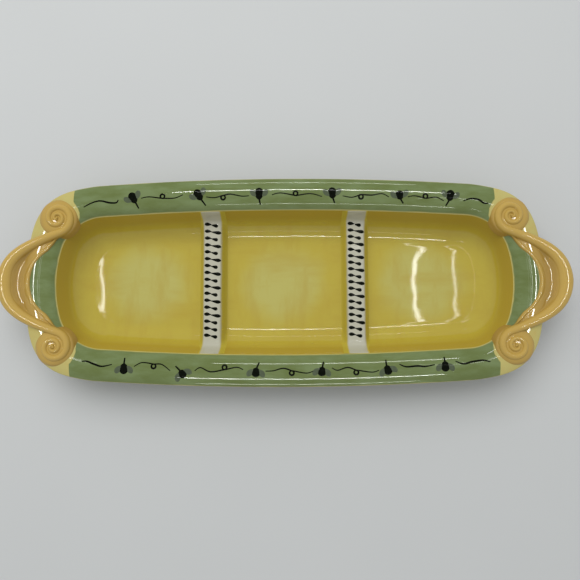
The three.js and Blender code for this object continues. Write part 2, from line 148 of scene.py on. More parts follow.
class HandleSizes(bpy.types.PropertyGroup):
    """The dished grips and the scrolled coil of clay along each of them."""

    crescent: length("Crescent", 19, "Width of the lip inside the grip, at the middle of the end")
    crescent_inset: length("Crescent inset", 3, "From the side of the grip to the arc that ends the crescent")
    crescent_round: length("Crescent round", 30, "Radius of the grip's inner edge, which bounds the crescent")
    reach: length("Reach", 45.5, "From the end of the well to the tip of the handle")
    bed: length("Bed", 4, "Height of the coil's bed above the well's outline")
    bead: length("Bead", 2, "Height of the grip's inner edge above the bed")
    dish: length("Dish", 0.8, "Depth of the grip's hollow below the bed")
    thickness: length("Thickness", 7, "Thickness of the grip under its hollow")
    coil_width: length("Coil width", 12.4, "Width of the coil at the tip of the handle")
    coil_height: length("Coil height", 5.5, "Height of the coil at the tip of the handle")
    tip_pull: length("Tip pull", 22, "How far the coil runs straight across the tip")
    scroll_pull: length("Scroll pull", 30, "How far the coil runs straight into the spiral")
    scroll_end: length("Scroll end inset", 2.2, "From the end of the well to the eye of the spiral")
    scroll_side: length("Scroll side inset", 6.7, "From the side of the well to the eye of the spiral")
    scroll_radius: length("Scroll radius", 11.8, "Radius of the spiral where it starts")
    scroll_start: angle("Scroll start", -105, "Direction from the eye to the spiral's start")
    scroll_turns: FloatProperty(name="Scroll turns", description="Turns of the spiral", default=2.0, min=0.5)
    scroll_band: length("Scroll band", 6.9, "Width of the coil where the spiral starts")
    scroll_coil: length("Scroll coil", 2.8, "Width of the coil at the eye of the spiral")
    scroll_gap: length("Scroll gap", 0.5, "Gap between the turns of the spiral")
    scroll_height: length("Scroll height", 4.6, "Height of the coil in the spiral")
    eye: length("Eye", 1.4, "Radius of the spiral's eye")
    boss_flare: length("Boss flare", 1.7, "Flare of the boss under the spiral")
    rim_setback: length("Rim setback", 12.1, "From the eye to the end of the long border")
    web_swell: length("Web swell", 4.2, "How far the lip swells outwards round the spiral")
    web_way: angle("Web way", 45, "Direction of the swell from the centre of the corner")
    web_spread: angle("Web spread", 36, "How far round the corner the swell fades out")
    grip_setback: length("Grip setback", 11.4, "From the eye to the side of the grip")


class GlazeColours(bpy.types.PropertyGroup):
    """Colours of the glazes, the paint and the clay."""

    yellow: colour("Yellow", 0xB8A73D, "Brushed yellow round the floor of the wells")
    pale: colour("Pale yellow", 0xB8B160, "Sponged pale patch in the middle of each floor")
    # Gold: partly the glaze's own deeper brushing, partly painted shade up the walls.
    gold_and_wall_shade: colour("Gold", 0xAE9534, "Deeper yellow up the walls")
    green: colour("Green", 0x738354, "Sage green of the borders")
    green_deep: colour("Deep green", 0x63713A, "Green where the glaze lies thick")
    peach: colour("Peach", 0xBC9C4C, "Peach of the handles")
    # Partly glaze pooled in the hollows, partly painted shade there.
    peach_pooled_and_shaded: colour("Deep peach", 0xA4843E, "Peach where the glaze pools in hollows")
    cream: colour("Cream", 0xBDB26A, "Cream where the glaze breaks on edges")
    white: colour("White", 0xB8B6A3, "Off-white of the ridges")
    ink: colour("Ink", 0x060A02, "Painted buds, stems and drops")
    leaf: colour("Leaf", 0x4F5843, "Washed painted leaves")
    clay: colour("Clay", 0xD9CBB2, "Bare fired clay of the foot")
    floor: colour("Floor", 0xCACCCB, "Card that the dish stands on")


class DishSettings(bpy.types.PropertyGroup):
    """Everything that shapes and colours the dish."""

    well: PointerProperty(type=WellSizes)
    lip: PointerProperty(type=LipSizes)
    divider: PointerProperty(type=DividerSizes)
    handle: PointerProperty(type=HandleSizes)
    colours: PointerProperty(type=GlazeColours)


# Sections and outlines


class Profile:
    """A section as a template maker draws it: straight runs and arcs, in offset outwards and height."""

    def __init__(self, offset, height, heading=0.0):
        self.start = self.tip = Vector((offset, height))
        self.heading = heading
        self.strokes = []

    def line(self, offset, height):
        """A straight run to a point."""
        end = Vector((offset, height))
        step = end - self.tip
        self.heading = math.atan2(step.y, step.x)
        self.strokes.append((end, None, 0.0))
        self.tip = end
        return self

    def bend(self, radius, turn):
        """An arc that leaves along the last stroke; a positive turn goes to the left."""
        side = math.copysign(radius, turn)
        centre = self.tip + side * Vector((-math.sin(self.heading), math.cos(self.heading)))
        self.heading += turn
        self.tip = centre - side * Vector((-math.sin(self.heading), math.cos(self.heading)))
        self.strokes.append((self.tip, centre, turn))
        return self

    def height(self, offset):
        """Height of the section's upper face at an offset."""
        start = self.start
        for end, centre, turn in self.strokes:
            if start.x <= offset <= end.x:
                if centre is None:
                    return start.y + (end.y - start.y) * (offset - start.x) / (end.x - start.x)
                reach = (end - centre).length
                rise = math.sqrt(max(reach**2 - (offset - centre.x) ** 2, 0.0))
                return centre.y - math.copysign(rise, turn)
            start = end
        raise ValueError(f"no upper face at offset {offset}")

    def draw(self, bm, reach, y=0.0):
        """Draws the section as a wire, reach away from the middle along X, and keeps each point's offset."""
        across = bm.verts.layers.float.get("across") or bm.verts.layers.float.new("across")
        tip = bm.verts.new((reach + self.start.x, y, self.start.y))
        wire = [tip]
        for end, centre, turn in self.strokes:
            if centre is None:
                tip = bmesh.ops.extrude_vert_indiv(bm, verts=[tip])["verts"][0]
                tip.co = (reach + end.x, y, end.y)
                wire.append(tip)
                continue
            pivot = (reach + centre.x, y, centre.y)
            steps = max(2, round(abs(turn) / ARC_STEP))
            part = turn / steps
            for _ in range(steps):
                spun = bmesh.ops.spin(bm, geom=[tip], cent=pivot, axis=(0, -1, 0), angle=part, steps=1)
                tip = verts_of(spun["geom_last"])[0]
                wire.append(tip)
        for vert in wire:
            vert[across] = vert.co.x - reach
        return wire + list(dict.fromkeys(edge for vert in wire for edge in vert.link_edges))


class Outline:
    """An outline seen from above: bowed ends and sides joined by round corners that share their tangents."""

    def __init__(self, length, width, side_bow, end_bow, corner):
        self.reach = length / 2
        self.side_bow, self.corner_radius, self.end_bow = side_bow, corner, end_bow
        self.side = Vector((0.0, width / 2 - side_bow))
        self.end = Vector((length / 2 - end_bow, 0.0))
        axis = self.end - self.side
        apart = axis.length
        axis.normalize()
        to_side, to_end = side_bow - corner, end_bow - corner
        along = (to_side**2 - to_end**2 + apart**2) / (2 * apart)
        across = math.sqrt(to_side**2 - along**2)
        self.corner = self.side + axis * along + Vector((axis.y, -axis.x)) * across
        self.end_turn = math.atan2(*reversed(self.corner - self.end))
        self.side_start = math.atan2(*reversed(self.corner - self.side))

    def sweep(self, bm, wire):
        """Spins a wire that stands across the +X end round to the +Y side."""
        turns = (
            (self.end, self.end_turn, END_STEPS),
            (self.corner, self.side_start - self.end_turn, CORNER_STEPS),
            (self.side, math.pi / 2 - self.side_start, SIDE_STEPS),
        )
        for centre, turn, steps in turns:
            spun = bmesh.ops.spin(bm, geom=wire, cent=centre.to_3d(), axis=Z_AXIS, angle=turn, steps=steps)
            wire = spun["geom_last"]

    def half_width(self, x):
        """Half the width between the bowed sides."""
        return self.side.y + math.sqrt(self.side_bow**2 - x**2)

    def place(self, run, offset):
        """The point at a run from the middle of the +Y side along the outline, moved outwards."""
        side_run = (math.pi / 2 - self.side_start) * self.side_bow
        beyond = abs(run) - side_run
        if beyond <= 0:
            centre, radius, turn = self.side, self.side_bow, math.pi / 2 - abs(run) / self.side_bow
        else:
            centre, radius = self.corner, self.corner_radius
            turn = self.side_start - beyond / radius
        point = centre + (radius + offset) * Vector((math.cos(turn), math.sin(turn)))
        return Vector((math.copysign(point.x, run), point.y))

    def offset_of(self, x, y):
        """How far a point lies outside the outline."""
        point = Vector((abs(x), abs(y)))
        turn = math.atan2(*reversed(point - self.corner))
        if turn < self.end_turn:
            return (point - self.end).length - self.end_bow
        if turn > self.side_start:
            return (point - self.side).length - self.side_bow
        return (point - self.corner).length - self.corner_radius


LIP_FILLET = ((4 * MM, 0.0), (1.5 * MM, 0.9 * MM))  # under the lip: outwards from the wall, and down


class Levels:
    """Heights, places and sections that several pieces share."""

    def __init__(self, dish):
        well, lip, handle = dish.well, dish.lip, dish.handle
        self.base = well.foot_height
        self.floor = self.base + well.wall
        self.border = self.floor + well.depth
        self.bed = self.border + handle.bed
        self.outline = Outline(well.length, well.width, well.side_bow, well.end_bow, well.corner)
        rise = well.cove * (1 - math.sin(well.lean))
        run = well.cove * math.cos(well.lean) + (well.depth - rise) * math.tan(well.lean)
        self.floor_offset = -run
        cove_turn = math.pi / 2 - well.lean
        self.well, self.trough = (
            Profile(-run, self.floor).bend(well.cove, cove_turn).line(0.0, self.border) for _ in range(2)
        )
        # From the well's face the trough goes on over the wall's edge, down its outside and under the floor.
        seat = well.wall / math.cos(well.lean) - well.seat_drop * math.tan(well.lean)
        seat_height = self.border - well.seat_drop
        outer_cove = well.cove + well.wall
        foot_of_wall = (
            outer_cove * math.cos(well.lean) - run,
            self.floor + well.cove - outer_cove * math.sin(well.lean),
        )
        self.trough.line(seat, seat_height).line(*foot_of_wall).bend(outer_cove, -cove_turn)
        self.lip = Profile(0.0, self.border, lip.inner_slope)
        self.lip.bend(lip.inner_round, lip.crown_slope - lip.inner_slope).bend(lip.crown, -lip.crown_slope)
        self.lip.bend(lip.shoulder, -lip.shoulder_slope)
        self.lip.bend(lip.edge_round, lip.shoulder_slope - math.pi / 2)
        self.lip_width = self.lip.tip.x
        self.lip.bend(lip.under_round, -math.pi / 2)
        self.lip_under = self.lip.tip.y
        for outwards, drop in LIP_FILLET:
            self.lip.line(seat + outwards, self.lip_under - drop)
        self.lip.line(seat, seat_height).line(0.0, self.border)
        self.eye = Vector((well.length / 2 - handle.scroll_end, well.width / 2 - handle.scroll_side))
        self.rim_half = self.eye.x - handle.rim_setback
        self.grip_arc = self.eye.y - handle.grip_setback - handle.crescent_inset
        self.grip_centre = well.length / 2 + handle.crescent - self.grip_arc

    def lip_height(self, offset):
        """Height of the lip's upper face, held inside its width."""
        return self.lip.height(min(max(offset, 0.0), self.lip_width))

    def well_height(self, offset):
        """Height of the well's inner face at an offset from its outline."""
        return self.floor if offset <= self.floor_offset else self.well.height(min(offset, 0.0))


# Meshes


def verts_of(geom):
    """The vertices among the results of a mesh operator."""
    return [item for item in geom if isinstance(item, bmesh.types.BMVert)]


def edges_of(geom):
    """The edges among the results of a mesh operator."""
    return [item for item in geom if isinstance(item, bmesh.types.BMEdge)]


def trim(bm, point, beyond):
    """Cuts off what lies beyond a plane and closes the cut."""
    geom = bm.verts[:] + bm.edges[:] + bm.faces[:]
    cut = bmesh.ops.bisect_plane(bm, geom=geom, plane_co=point, plane_no=beyond, clear_outer=True)
    bmesh.ops.edgeloop_fill(bm, edges=edges_of(cut["geom_cut"]))


def weld(bm):
    """Joins points that lie on each other."""
    bmesh.ops.remove_doubles(bm, verts=bm.verts, dist=WELD)


def double(bm, axis):
    """Adds the mirror image across the plane through the origin and joins both halves."""
    geom = bm.verts[:] + bm.edges[:] + bm.faces[:]
    bmesh.ops.mirror(bm, geom=geom, axis=axis, merge_dist=MIRROR_WELD)


def flip(bm, end, side):
    """Turns a piece made at the +X end and +Y side into its mirror image."""
    bmesh.ops.scale(bm, vec=(end, side, 1.0), verts=bm.verts)


def loft(bm, rings):
    """Carries a ring of points from place to place by extruding its edges, closes it and gives its rings."""
    verts = [bm.verts.new(point) for point in rings[0]]
    laid = [verts]
    first = edges = [bm.edges.new(pair) for pair in zip(verts, verts[1:] + verts[:1])]
    for ring in rings[1:]:
        made = bmesh.ops.extrude_edge_only(bm, edges=edges)["geom"]
        fresh = set(verts_of(made))
        verts = [next(e.other_vert(v) for e in v.link_edges if e.other_vert(v) in fresh) for v in verts]
        edges = edges_of(made)
        for vert, point in zip(verts, ring):
            vert.co = point
        laid.append(verts)
    bmesh.ops.edgeloop_fill(bm, edges=first)
    bmesh.ops.edgeloop_fill(bm, edges=edges)
    return laid


def soft_step(share):
    """A soft step from 0 to 1."""
    return (1 - math.cos(math.pi * min(max(share, 0.0), 1.0))) / 2


def finish_piece(name, bm, material, nodes=()):
    """Closes a mesh, points its faces outwards and puts it on the dish in place of its clay solids."""
    weld(bm)
    bmesh.ops.recalc_face_normals(bm, faces=bm.faces)
    if any(not edge.is_manifold for edge in bm.edges):
        raise RuntimeError(f"{name} is not closed")
    mesh = bpy.data.meshes.new(name)
    bm.to_mesh(mesh)
    bm.free()
    mesh.shade_smooth()
    mesh.set_sharp_from_angle(angle=SHARP_EDGE)
    mesh.materials.append(material)
    piece = bpy.data.objects.new(name, mesh)
    bpy.context.scene.collection.objects.link(piece)
    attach(piece, "root")
    if nodes:
        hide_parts(*nodes)


def finish_ends(name, rings, material, solid):
    """Lofts the same piece at both ends of the dish."""
    for end_name, end in ENDS:
        bm = bmesh.new()
        loft(bm, rings)
        flip(bm, end, 1)
        finish_piece(f"{name}_{end_name}", bm, material, [f"{solid}_{end_name}"])


# Glazes


COLOUR_MIX = {"out": 2, "data_type": "RGBA"}  # inputs: 0 its share, 6 and 7 the colours that it runs between
SOFT_RAMP = {"interpolation_type": "SMOOTHSTEP"}  # inputs: 0 its value, 1 and 2 where it gives 0 and 1
WAVE_LENGTH = 24 * MM  # The glaze runs and settles in waves, which make its highlights wander.
PEEL_SIZE = 1.5 * MM  # Pinholes and orange peel break the highlights' edges.
PEEL_SHARE = 0.03  # of the waves' height
GLAZE_RELIEF = 0.07 * MM  # height of the waves
GLAZE_IOR = 1.5
GLAZE_ROUGHNESS = 0.035
PAINT_ROUGHNESS = 0.55  # under the glaze
CLAY_ROUGHNESS = 0.88
CLAY_GRIT = 0.8 * MM
CLAY_RELIEF = 0.08 * MM


def node(tree, kind, inputs=(), out=0, **settings):
    """Adds a node, sets its options, sets or links its inputs, and gives one output, or the node for None."""
    made = tree.nodes.new(kind)
    for name, value in settings.items():
        setattr(made, name, value)
    for socket, value in dict(inputs).items():
        if isinstance(value, bpy.types.NodeSocket):
            tree.links.new(value, made.inputs[socket])
        else:
            made.inputs[socket].default_value = value
    return made if out is None else made.outputs[out]


def rgba(colour, share=1.0):
    """A colour setting, or a share of it, as a shader input."""
    return (*(part * share for part in colour), 1.0)


def material_once(name, shade):
    """The material of a name. On its first use, shade makes its shader from Object coordinates."""
    material = bpy.data.materials.get(name)
    if not material:
        material = bpy.data.materials.new(name)
        material.use_nodes = True
        tree = material.node_tree
        tree.nodes.clear()
        place = node(tree, "ShaderNodeTexCoord", out="Object")
        node(tree, "ShaderNodeOutputMaterial", {"Surface": shade(tree, place)}, out=None)
    return material


def glazed_earthenware(name, paint, ripple=None, coat=1.0):
    """Painted earthenware under a clear glaze: soft brushed colour below a hard, wet, faintly wavy coat."""

    def shade(tree, place):
        base = paint(tree, place)
        wave = node(tree, "ShaderNodeTexNoise", {"Vector": place, "Scale": 1 / WAVE_LENGTH, "Detail": 1.0})
        peel = node(tree, "ShaderNodeTexNoise", {"Vector": place, "Scale": 1 / PEEL_SIZE, "Detail": 0.0})
        relief = node(tree, "ShaderNodeMath", {0: peel, 1: PEEL_SHARE, 2: wave}, operation="MULTIPLY_ADD")
        if ripple:
            relief = node(tree, "ShaderNodeMath", {0: relief, 1: ripple(tree, place)}, operation="ADD")
        normal = node(tree, "ShaderNodeBump", {"Height": relief, "Strength": 1.0, "Distance": GLAZE_RELIEF})
        return node(
            tree,
            "ShaderNodeBsdfPrincipled",
            {
                "Base Color": base,
                "Roughness": PAINT_ROUGHNESS,
                "IOR": GLAZE_IOR,
                "Specular IOR Level": 0.0,
                "Coat Weight": coat,
                "Coat Roughness": GLAZE_ROUGHNESS,
                "Coat IOR": GLAZE_IOR,
                "Normal": normal,
                "Coat Normal": normal,
            },
        )

    return material_once(name, shade)


def brushed(tree, place, stretch, size):
    """Streaks left by a wide brush: noise drawn out along the brush's way, from 0 to 1."""
    drawn = node(tree, "ShaderNodeVectorMath", {0: place, 1: stretch}, operation="MULTIPLY")
    streaks = {"Vector": drawn, "Scale": 1 / size, "Detail": 4.0, "Roughness": 0.6}
    return node(tree, "ShaderNodeTexNoise", streaks)


def yellow_glaze(dish):
    """Brushed yellow: sponged pale in each floor's middle, golden up the walls (partly its own, partly
    painted shade).
    """
    levels, tints = Levels(dish), dish.colours
    pitch = (dish.divider.spacing + dish.well.length) / 4 - 6 * MM  # between the middles of the pale patches
    patch = (1 / (38 * MM), 1 / (34 * MM), 0.0)  # their half length and half width, as scales
    wall_foot, wall_top = levels.floor + 0.5 * MM, levels.border - 6 * MM

    def paint(tree, place):
        parts = node(tree, "ShaderNodeSeparateXYZ", {0: place}, out=None).outputs
        streaks = brushed(tree, place, (1.0, 4.0, 4.0), 60 * MM)
        crossed = brushed(tree, place, (4.0, 1.0, 1.0), 45 * MM)
        streaks = node(tree, "ShaderNodeMath", {0: streaks, 1: crossed}, operation="MAXIMUM")
        cloud = node(tree, "ShaderNodeTexNoise", {"Vector": place, "Scale": 1 / (22 * MM), "Detail": 3.0})
        along = node(tree, "ShaderNodeMath", {0: parts["X"]}, operation="ABSOLUTE")
        outer = node(tree, "ShaderNodeMath", {0: along, 1: pitch}, operation="SUBTRACT")
        outer = node(tree, "ShaderNodeMath", {0: outer}, operation="ABSOLUTE")
        nearest = node(tree, "ShaderNodeMath", {0: along, 1: outer}, operation="MINIMUM")
        spread = node(tree, "ShaderNodeCombineXYZ", {"X": nearest, "Y": parts["Y"]})
        spread = node(tree, "ShaderNodeVectorMath", {0: spread, 1: patch}, operation="MULTIPLY")
        reach = node(tree, "ShaderNodeVectorMath", {0: spread}, "Value", operation="LENGTH")
        ragged = node(tree, "ShaderNodeMath", {0: cloud, 1: 0.5, 2: reach}, operation="MULTIPLY_ADD")
        sponged = node(tree, "ShaderNodeMapRange", {0: ragged, 1: 1.45, 2: 0.75}, **SOFT_RAMP)
        # Up the walls the yellow turns to gold: partly the glaze's own deeper brushing, partly painted shade.
        wall = node(tree, "ShaderNodeMapRange", {0: parts["Z"], 1: wall_foot, 2: wall_top}, **SOFT_RAMP)
        tones = {0: sponged, 6: rgba(tints.yellow), 7: rgba(tints.pale)}
        floor = node(tree, "ShaderNodeMix", tones, **COLOUR_MIX)
        body = node(tree, "ShaderNodeMix", {0: wall, 6: floor, 7: rgba(tints.gold_and_wall_shade)}, **COLOUR_MIX)
        strength = node(tree, "ShaderNodeMapRange", {0: streaks, 1: 0.42, 2: 0.75}, **SOFT_RAMP)
        faint = node(tree, "ShaderNodeMath", {0: strength, 1: 0.45}, operation="MULTIPLY")
        return node(tree, "ShaderNodeMix", {0: faint, 6: body, 7: rgba(tints.gold_and_wall_shade)}, **COLOUR_MIX)

    def ripple(tree, place):
        # The brush left ridges about 3 mm apart under the glaze, strongest in the right-hand well.
        marks = brushed(tree, place, (0.35, 1.0, 1.0), 3 * MM)
        along = node(tree, "ShaderNodeSeparateXYZ", {0: place}, "X")
        growing = {"Value": along, "From Min": 50 * MM, "From Max": 100 * MM, "To Min": 0.02, "To Max": 0.16}
        strong = node(tree, "ShaderNodeMapRange", growing)
        return node(tree, "ShaderNodeMath", {0: marks, 1: strong}, operation="MULTIPLY")

    return glazed_earthenware("glazed_earthenware_yellow", paint, ripple)


def green_glaze(dish):
    """Sage green that breaks to cream on the edges and round the scrolls."""
    levels, tints = Levels(dish), dish.colours
    outer_edge = levels.lip_width - 0.3 * MM, levels.lip_width + 0.6 * MM
    eye = (levels.eye.x, levels.eye.y + 2 * MM, 0.0)

    def paint(tree, place):
        streaks = brushed(tree, place, (0.35, 1.0, 1.0), 9 * MM)
        across = node(tree, "ShaderNodeAttribute", out="Fac", attribute_name="across")
        cloud = node(tree, "ShaderNodeMapRange", {0: streaks, 1: 0.3, 2: 0.75}, **SOFT_RAMP)
        tones = {0: cloud, 6: rgba(tints.green_deep), 7: rgba(tints.green)}
        body = node(tree, "ShaderNodeMix", tones, **COLOUR_MIX)
        wander = node(tree, "ShaderNodeMath", {0: streaks, 1: 1.2 * MM, 2: across}, operation="MULTIPLY_ADD")
        inner = node(tree, "ShaderNodeMapRange", {0: wander, 1: 1.7 * MM, 2: 0.7 * MM}, **SOFT_RAMP)
        outer = node(tree, "ShaderNodeMapRange", {0: wander, 1: outer_edge[0], 2: outer_edge[1]}, **SOFT_RAMP)
        folded = node(tree, "ShaderNodeVectorMath", {0: place}, operation="ABSOLUTE")
        flat = node(tree, "ShaderNodeVectorMath", {0: folded, 1: (1.0, 1.0, 0.0)}, operation="MULTIPLY")
        near = node(tree, "ShaderNodeVectorMath", {0: flat, 1: eye}, "Value", operation="DISTANCE")
        ragged = node(tree, "ShaderNodeMath", {0: streaks, 1: 3 * MM, 2: near}, operation="MULTIPLY_ADD")
        scroll = node(tree, "ShaderNodeMapRange", {0: ragged, 1: 18.6 * MM, 2: 17.8 * MM}, **SOFT_RAMP)
        edges = node(tree, "ShaderNodeMath", {0: inner, 1: outer}, operation="MAXIMUM")
        edges = node(tree, "ShaderNodeMath", {0: edges, 1: scroll}, operation="MAXIMUM")
        return node(tree, "ShaderNodeMix", {0: edges, 6: body, 7: rgba(tints.cream)}, **COLOUR_MIX)

    return glazed_earthenware("glazed_earthenware_green", paint)


def peach_glaze(dish):
    """Peach, lighter over the ridges and darker in the hollows: partly glaze running thin and pooling, partly
    painted shade.
    """
    levels, tints = Levels(dish), dish.colours
    pooled_and_shaded_below, crest = levels.bed - 0.6 * MM, levels.bed + 5.2 * MM

    def paint(tree, place):
        height = node(tree, "ShaderNodeSeparateXYZ", {0: place}, "Z")
        streaks = brushed(tree, place, (1.0, 1.0, 1.0), 12 * MM)
        uneven = node(tree, "ShaderNodeMath", {0: streaks, 1: 2.5 * MM, 2: height}, operation="MULTIPLY_ADD")
        # Darker the lower it lies: partly glaze pooled in the hollows, partly painted shade there.
        ridge = node(tree, "ShaderNodeMapRange", {0: uneven, 1: pooled_and_shaded_below, 2: crest}, **SOFT_RAMP)
        tones = {0: ridge, 6: rgba(tints.peach_pooled_and_shaded), 7: rgba(tints.peach)}
        body = node(tree, "ShaderNodeMix", tones, **COLOUR_MIX)
        thin = node(tree, "ShaderNodeAttribute", out="Fac", attribute_name="thin")
        return node(tree, "ShaderNodeMix", {0: thin, 6: body, 7: rgba(tints.cream)}, **COLOUR_MIX)

    return glazed_earthenware("glazed_earthenware_peach", paint)


def cream_glaze(dish):
    """Cream left between the painted parts, faintly stained by its neighbours."""
    tints = dish.colours

    def paint(tree, place):
        streaks = brushed(tree, place, (1.0, 1.0, 1.0), 7 * MM)
        patchy = node(tree, "ShaderNodeMapRange", {0: streaks, 1: 0.4, 2: 0.75}, **SOFT_RAMP)
        stain = node(tree, "ShaderNodeMath", {0: patchy, 1: 0.35}, operation="MULTIPLY")
        tones = {0: stain, 6: rgba(tints.cream), 7: rgba(tints.peach)}
        return node(tree, "ShaderNodeMix", tones, **COLOUR_MIX)

    return glazed_earthenware("glazed_earthenware_cream", paint)


def ridge_glaze(dish):
    """Off-white along the crest of a ridge, running into the yellow of the wells on both flanks."""
    tints = dish.colours
    middle = dish.divider.spacing / 2

    def paint(tree, place):
        along = node(tree, "ShaderNodeSeparateXYZ", {0: place}, "X")
        streaks = brushed(tree, place, (1.0, 0.4, 1.0), 6 * MM)
        along = node(tree, "ShaderNodeMath", {0: along}, operation="ABSOLUTE")
        off = node(tree, "ShaderNodeMath", {0: along, 1: middle}, operation="SUBTRACT")
        off = node(tree, "ShaderNodeMath", {0: off}, operation="ABSOLUTE")
        ragged = node(tree, "ShaderNodeMath", {0: streaks, 1: 1.6 * MM, 2: off}, operation="MULTIPLY_ADD")
        edge = node(tree, "ShaderNodeMapRange", {0: ragged, 1: 7.6 * MM, 2: 9.2 * MM}, **SOFT_RAMP)
        tones = {0: edge, 6: rgba(tints.white), 7: rgba(tints.yellow)}
        return node(tree, "ShaderNodeMix", tones, **COLOUR_MIX)

    return glazed_earthenware("glazed_earthenware_white", paint)


def brush_paint(name, tint, coat):
    """Paint laid on with a fine brush: dense, and duller than the glaze round it."""
    lighter = tuple(0.004 + 1.35 * part for part in tint)

    def paint(tree, place):
        streaks = brushed(tree, place, (1.0, 1.0, 1.0), 2 * MM)
        thin = node(tree, "ShaderNodeMapRange", {0: streaks, 1: 0.45, 2: 0.8}, **SOFT_RAMP)
        return node(tree, "ShaderNodeMix", {0: thin, 6: rgba(tint), 7: rgba(lighter)}, **COLOUR_MIX)

    return glazed_earthenware(name, paint, coat=coat)


def bare_clay(dish):
    """Unglazed fired clay: dry, matt and slightly gritty."""
    tint = dish.colours.clay

    def shade(tree, place):
        grit = node(tree, "ShaderNodeTexNoise", {"Vector": place, "Scale": 1 / CLAY_GRIT, "Detail": 3.0})
        body = node(tree, "ShaderNodeMix", {0: grit, 6: rgba(tint, 0.72), 7: rgba(tint)}, **COLOUR_MIX)
        normal = node(tree, "ShaderNodeBump", {"Height": grit, "Distance": CLAY_RELIEF})
        finish = {"Base Color": body, "Roughness": CLAY_ROUGHNESS, "Normal": normal}
        return node(tree, "ShaderNodeBsdfPrincipled", finish)

    return material_once("fired_clay_bare", shade)


def matt_card(dish):
    """Pale matt card: dry and even, with the faintest clouds, so that it only carries the dish's shadow."""
    tint = dish.colours.floor

    def shade(tree, place):
        cloud = node(tree, "ShaderNodeTexNoise", {"Vector": place, "Scale": 1 / (120 * MM), "Detail": 2.0})
        body = node(tree, "ShaderNodeMix", {0: cloud, 6: rgba(tint, 0.97), 7: rgba(tint)}, **COLOUR_MIX)
        return node(tree, "ShaderNodeBsdfPrincipled", {"Base Color": body, "Roughness": 0.9})

    return material_once("matt_card", shade)


# Pieces


FOOT_GROOVE = 0.5 * MM  # how deep the foot ring is set into the floor
FOOT_SOFT = 1.2 * MM  # radius of its lower edges


class DISH_OT_well(bpy.types.Operator):
    """Spins the trough's wall round the well, and sets the foot ring under its floor"""

    bl_idname = "dish.make_well"
    bl_label = "Well and foot"

    def execute(self, context):
        dish = context.scene.condiment_dish
        levels, well = Levels(dish), dish.well
        bm = bmesh.new()
        levels.outline.sweep(bm, levels.trough.draw(bm, levels.outline.reach))
        double(bm, "X")
        double(bm, "Y")
        weld(bm)
        bmesh.ops.holes_fill(bm, edges=[edge for edge in bm.edges if edge.is_boundary], sides=0)
        finish_piece("glazed_trough", bm, yellow_glaze(dish), ["trough"])

        inset = 2 * (well.foot_setback - levels.floor_offset)
        size = well.length - inset, well.width - inset
        ring = Outline(*size, well.side_bow, well.foot_end, well.foot_corner)
        half, top = well.foot_width / 2, levels.base + FOOT_GROOVE
        section = Profile(-half, top).line(-half, FOOT_SOFT).bend(FOOT_SOFT, math.pi / 2)
        section.line(half - FOOT_SOFT, 0.0).bend(FOOT_SOFT, math.pi / 2).line(half, top).line(-half, top)
        bm = bmesh.new()
        ring.sweep(bm, section.draw(bm, ring.reach))
        double(bm, "X")
        double(bm, "Y")
        finish_piece("clay_foot", bm, bare_clay(dish), ["foot_ring"])
        return {"FINISHED"}


class DISH_OT_borders(bpy.types.Operator):
    """Spins the lip round the well and parts it into long borders, crescents and corners"""

    bl_idname = "dish.make_borders"
    bl_label = "Borders"

    def execute(self, context):
        dish = context.scene.condiment_dish
        levels, handle = Levels(dish), dish.handle
        green, cream = green_glaze(dish), cream_glaze(dish)
        rim_end = (levels.rim_half, 0, 0)
        # The crescents end under the coil, along its way into the spiral.
        start = coil_way(dish, levels)[1][0]
        coil_start, outwards = start.point.to_3d(), -start.right.to_3d()
        outwards *= math.copysign(1.0, outwards.y)

        def lip_quarter(*cuts):
            # The lip swells outwards round the spiral. Each cut is a point and the way that is cut off.
            bm = bmesh.new()
            levels.outline.sweep(bm, levels.lip.draw(bm, levels.outline.reach))
            weld(bm)
            across = bm.verts.layers.float["across"]
            for vert in bm.verts:
                spoke = vert.co.to_2d() - levels.outline.corner
                off = math.atan2(spoke.y, spoke.x) - handle.web_way
                swell = handle.web_swell * soft_step(1 - abs(off) / handle.web_spread)
                spoke *= swell * soft_step(vert[across] / levels.lip_width) / spoke.length
                vert.co += spoke.to_3d()
            for point, beyond in cuts:
                trim(bm, point, beyond)
            return bm

        for side_name, side in SIDES:
            bm = lip_quarter((rim_end, (1, 0, 0)))
            double(bm, "X")
            flip(bm, 1, side)
            finish_piece(f"border_{side_name}", bm, green, [f"rim_{side_name}"])
        for end_name, end in ENDS:
            bm = lip_quarter((rim_end, (-1, 0, 0)), (coil_start, outwards))
            double(bm, "Y")
            flip(bm, end, 1)
            finish_piece(f"border_{end_name}", bm, green, [f"crescent_{end_name}"])
            for side_name, side in SIDES:
                bm = lip_quarter((rim_end, (-1, 0, 0)), (coil_start, -outwards))
                flip(bm, end, side)
                corner = f"{end_name}_{side_name}"
                finish_piece(f"web_{corner}", bm, cream, [f"corner_{corner}"])
        return {"FINISHED"}


def ridge_height(dish, levels, across, along):
    """Height of a ridge's face: across it from its middle, and along it from the middle of the dish."""
    ridge = dish.divider
    reach = levels.outline.half_width(ridge.spacing / 2)
    wall = levels.well_height(abs(along) - reach) - levels.floor
    over = wall + ridge.proud
    mix = max(ridge.blend - abs(over - ridge.height), 0.0) / ridge.blend
    crest = max(over, ridge.height) + mix**2 * ridge.blend / 4
    share = min(max((abs(across) - ridge.crest / 2) / ridge.flare, 0.0), 1.0)
    flank = (1 + math.cos(math.pi * share)) / 2
    return levels.floor + min(wall + (crest - wall) * flank, dish.well.depth)


RIDGE_SUNK = 0.5 * MM  # how far the feet of a ridge's flanks lie in the floor
RIDGE_ROOT = 3 * MM  # how far the ridge reaches into floor and wall
RIDGE_SHARE = 0.9995  # of the width, so that a ridge ends just inside the wall's edge


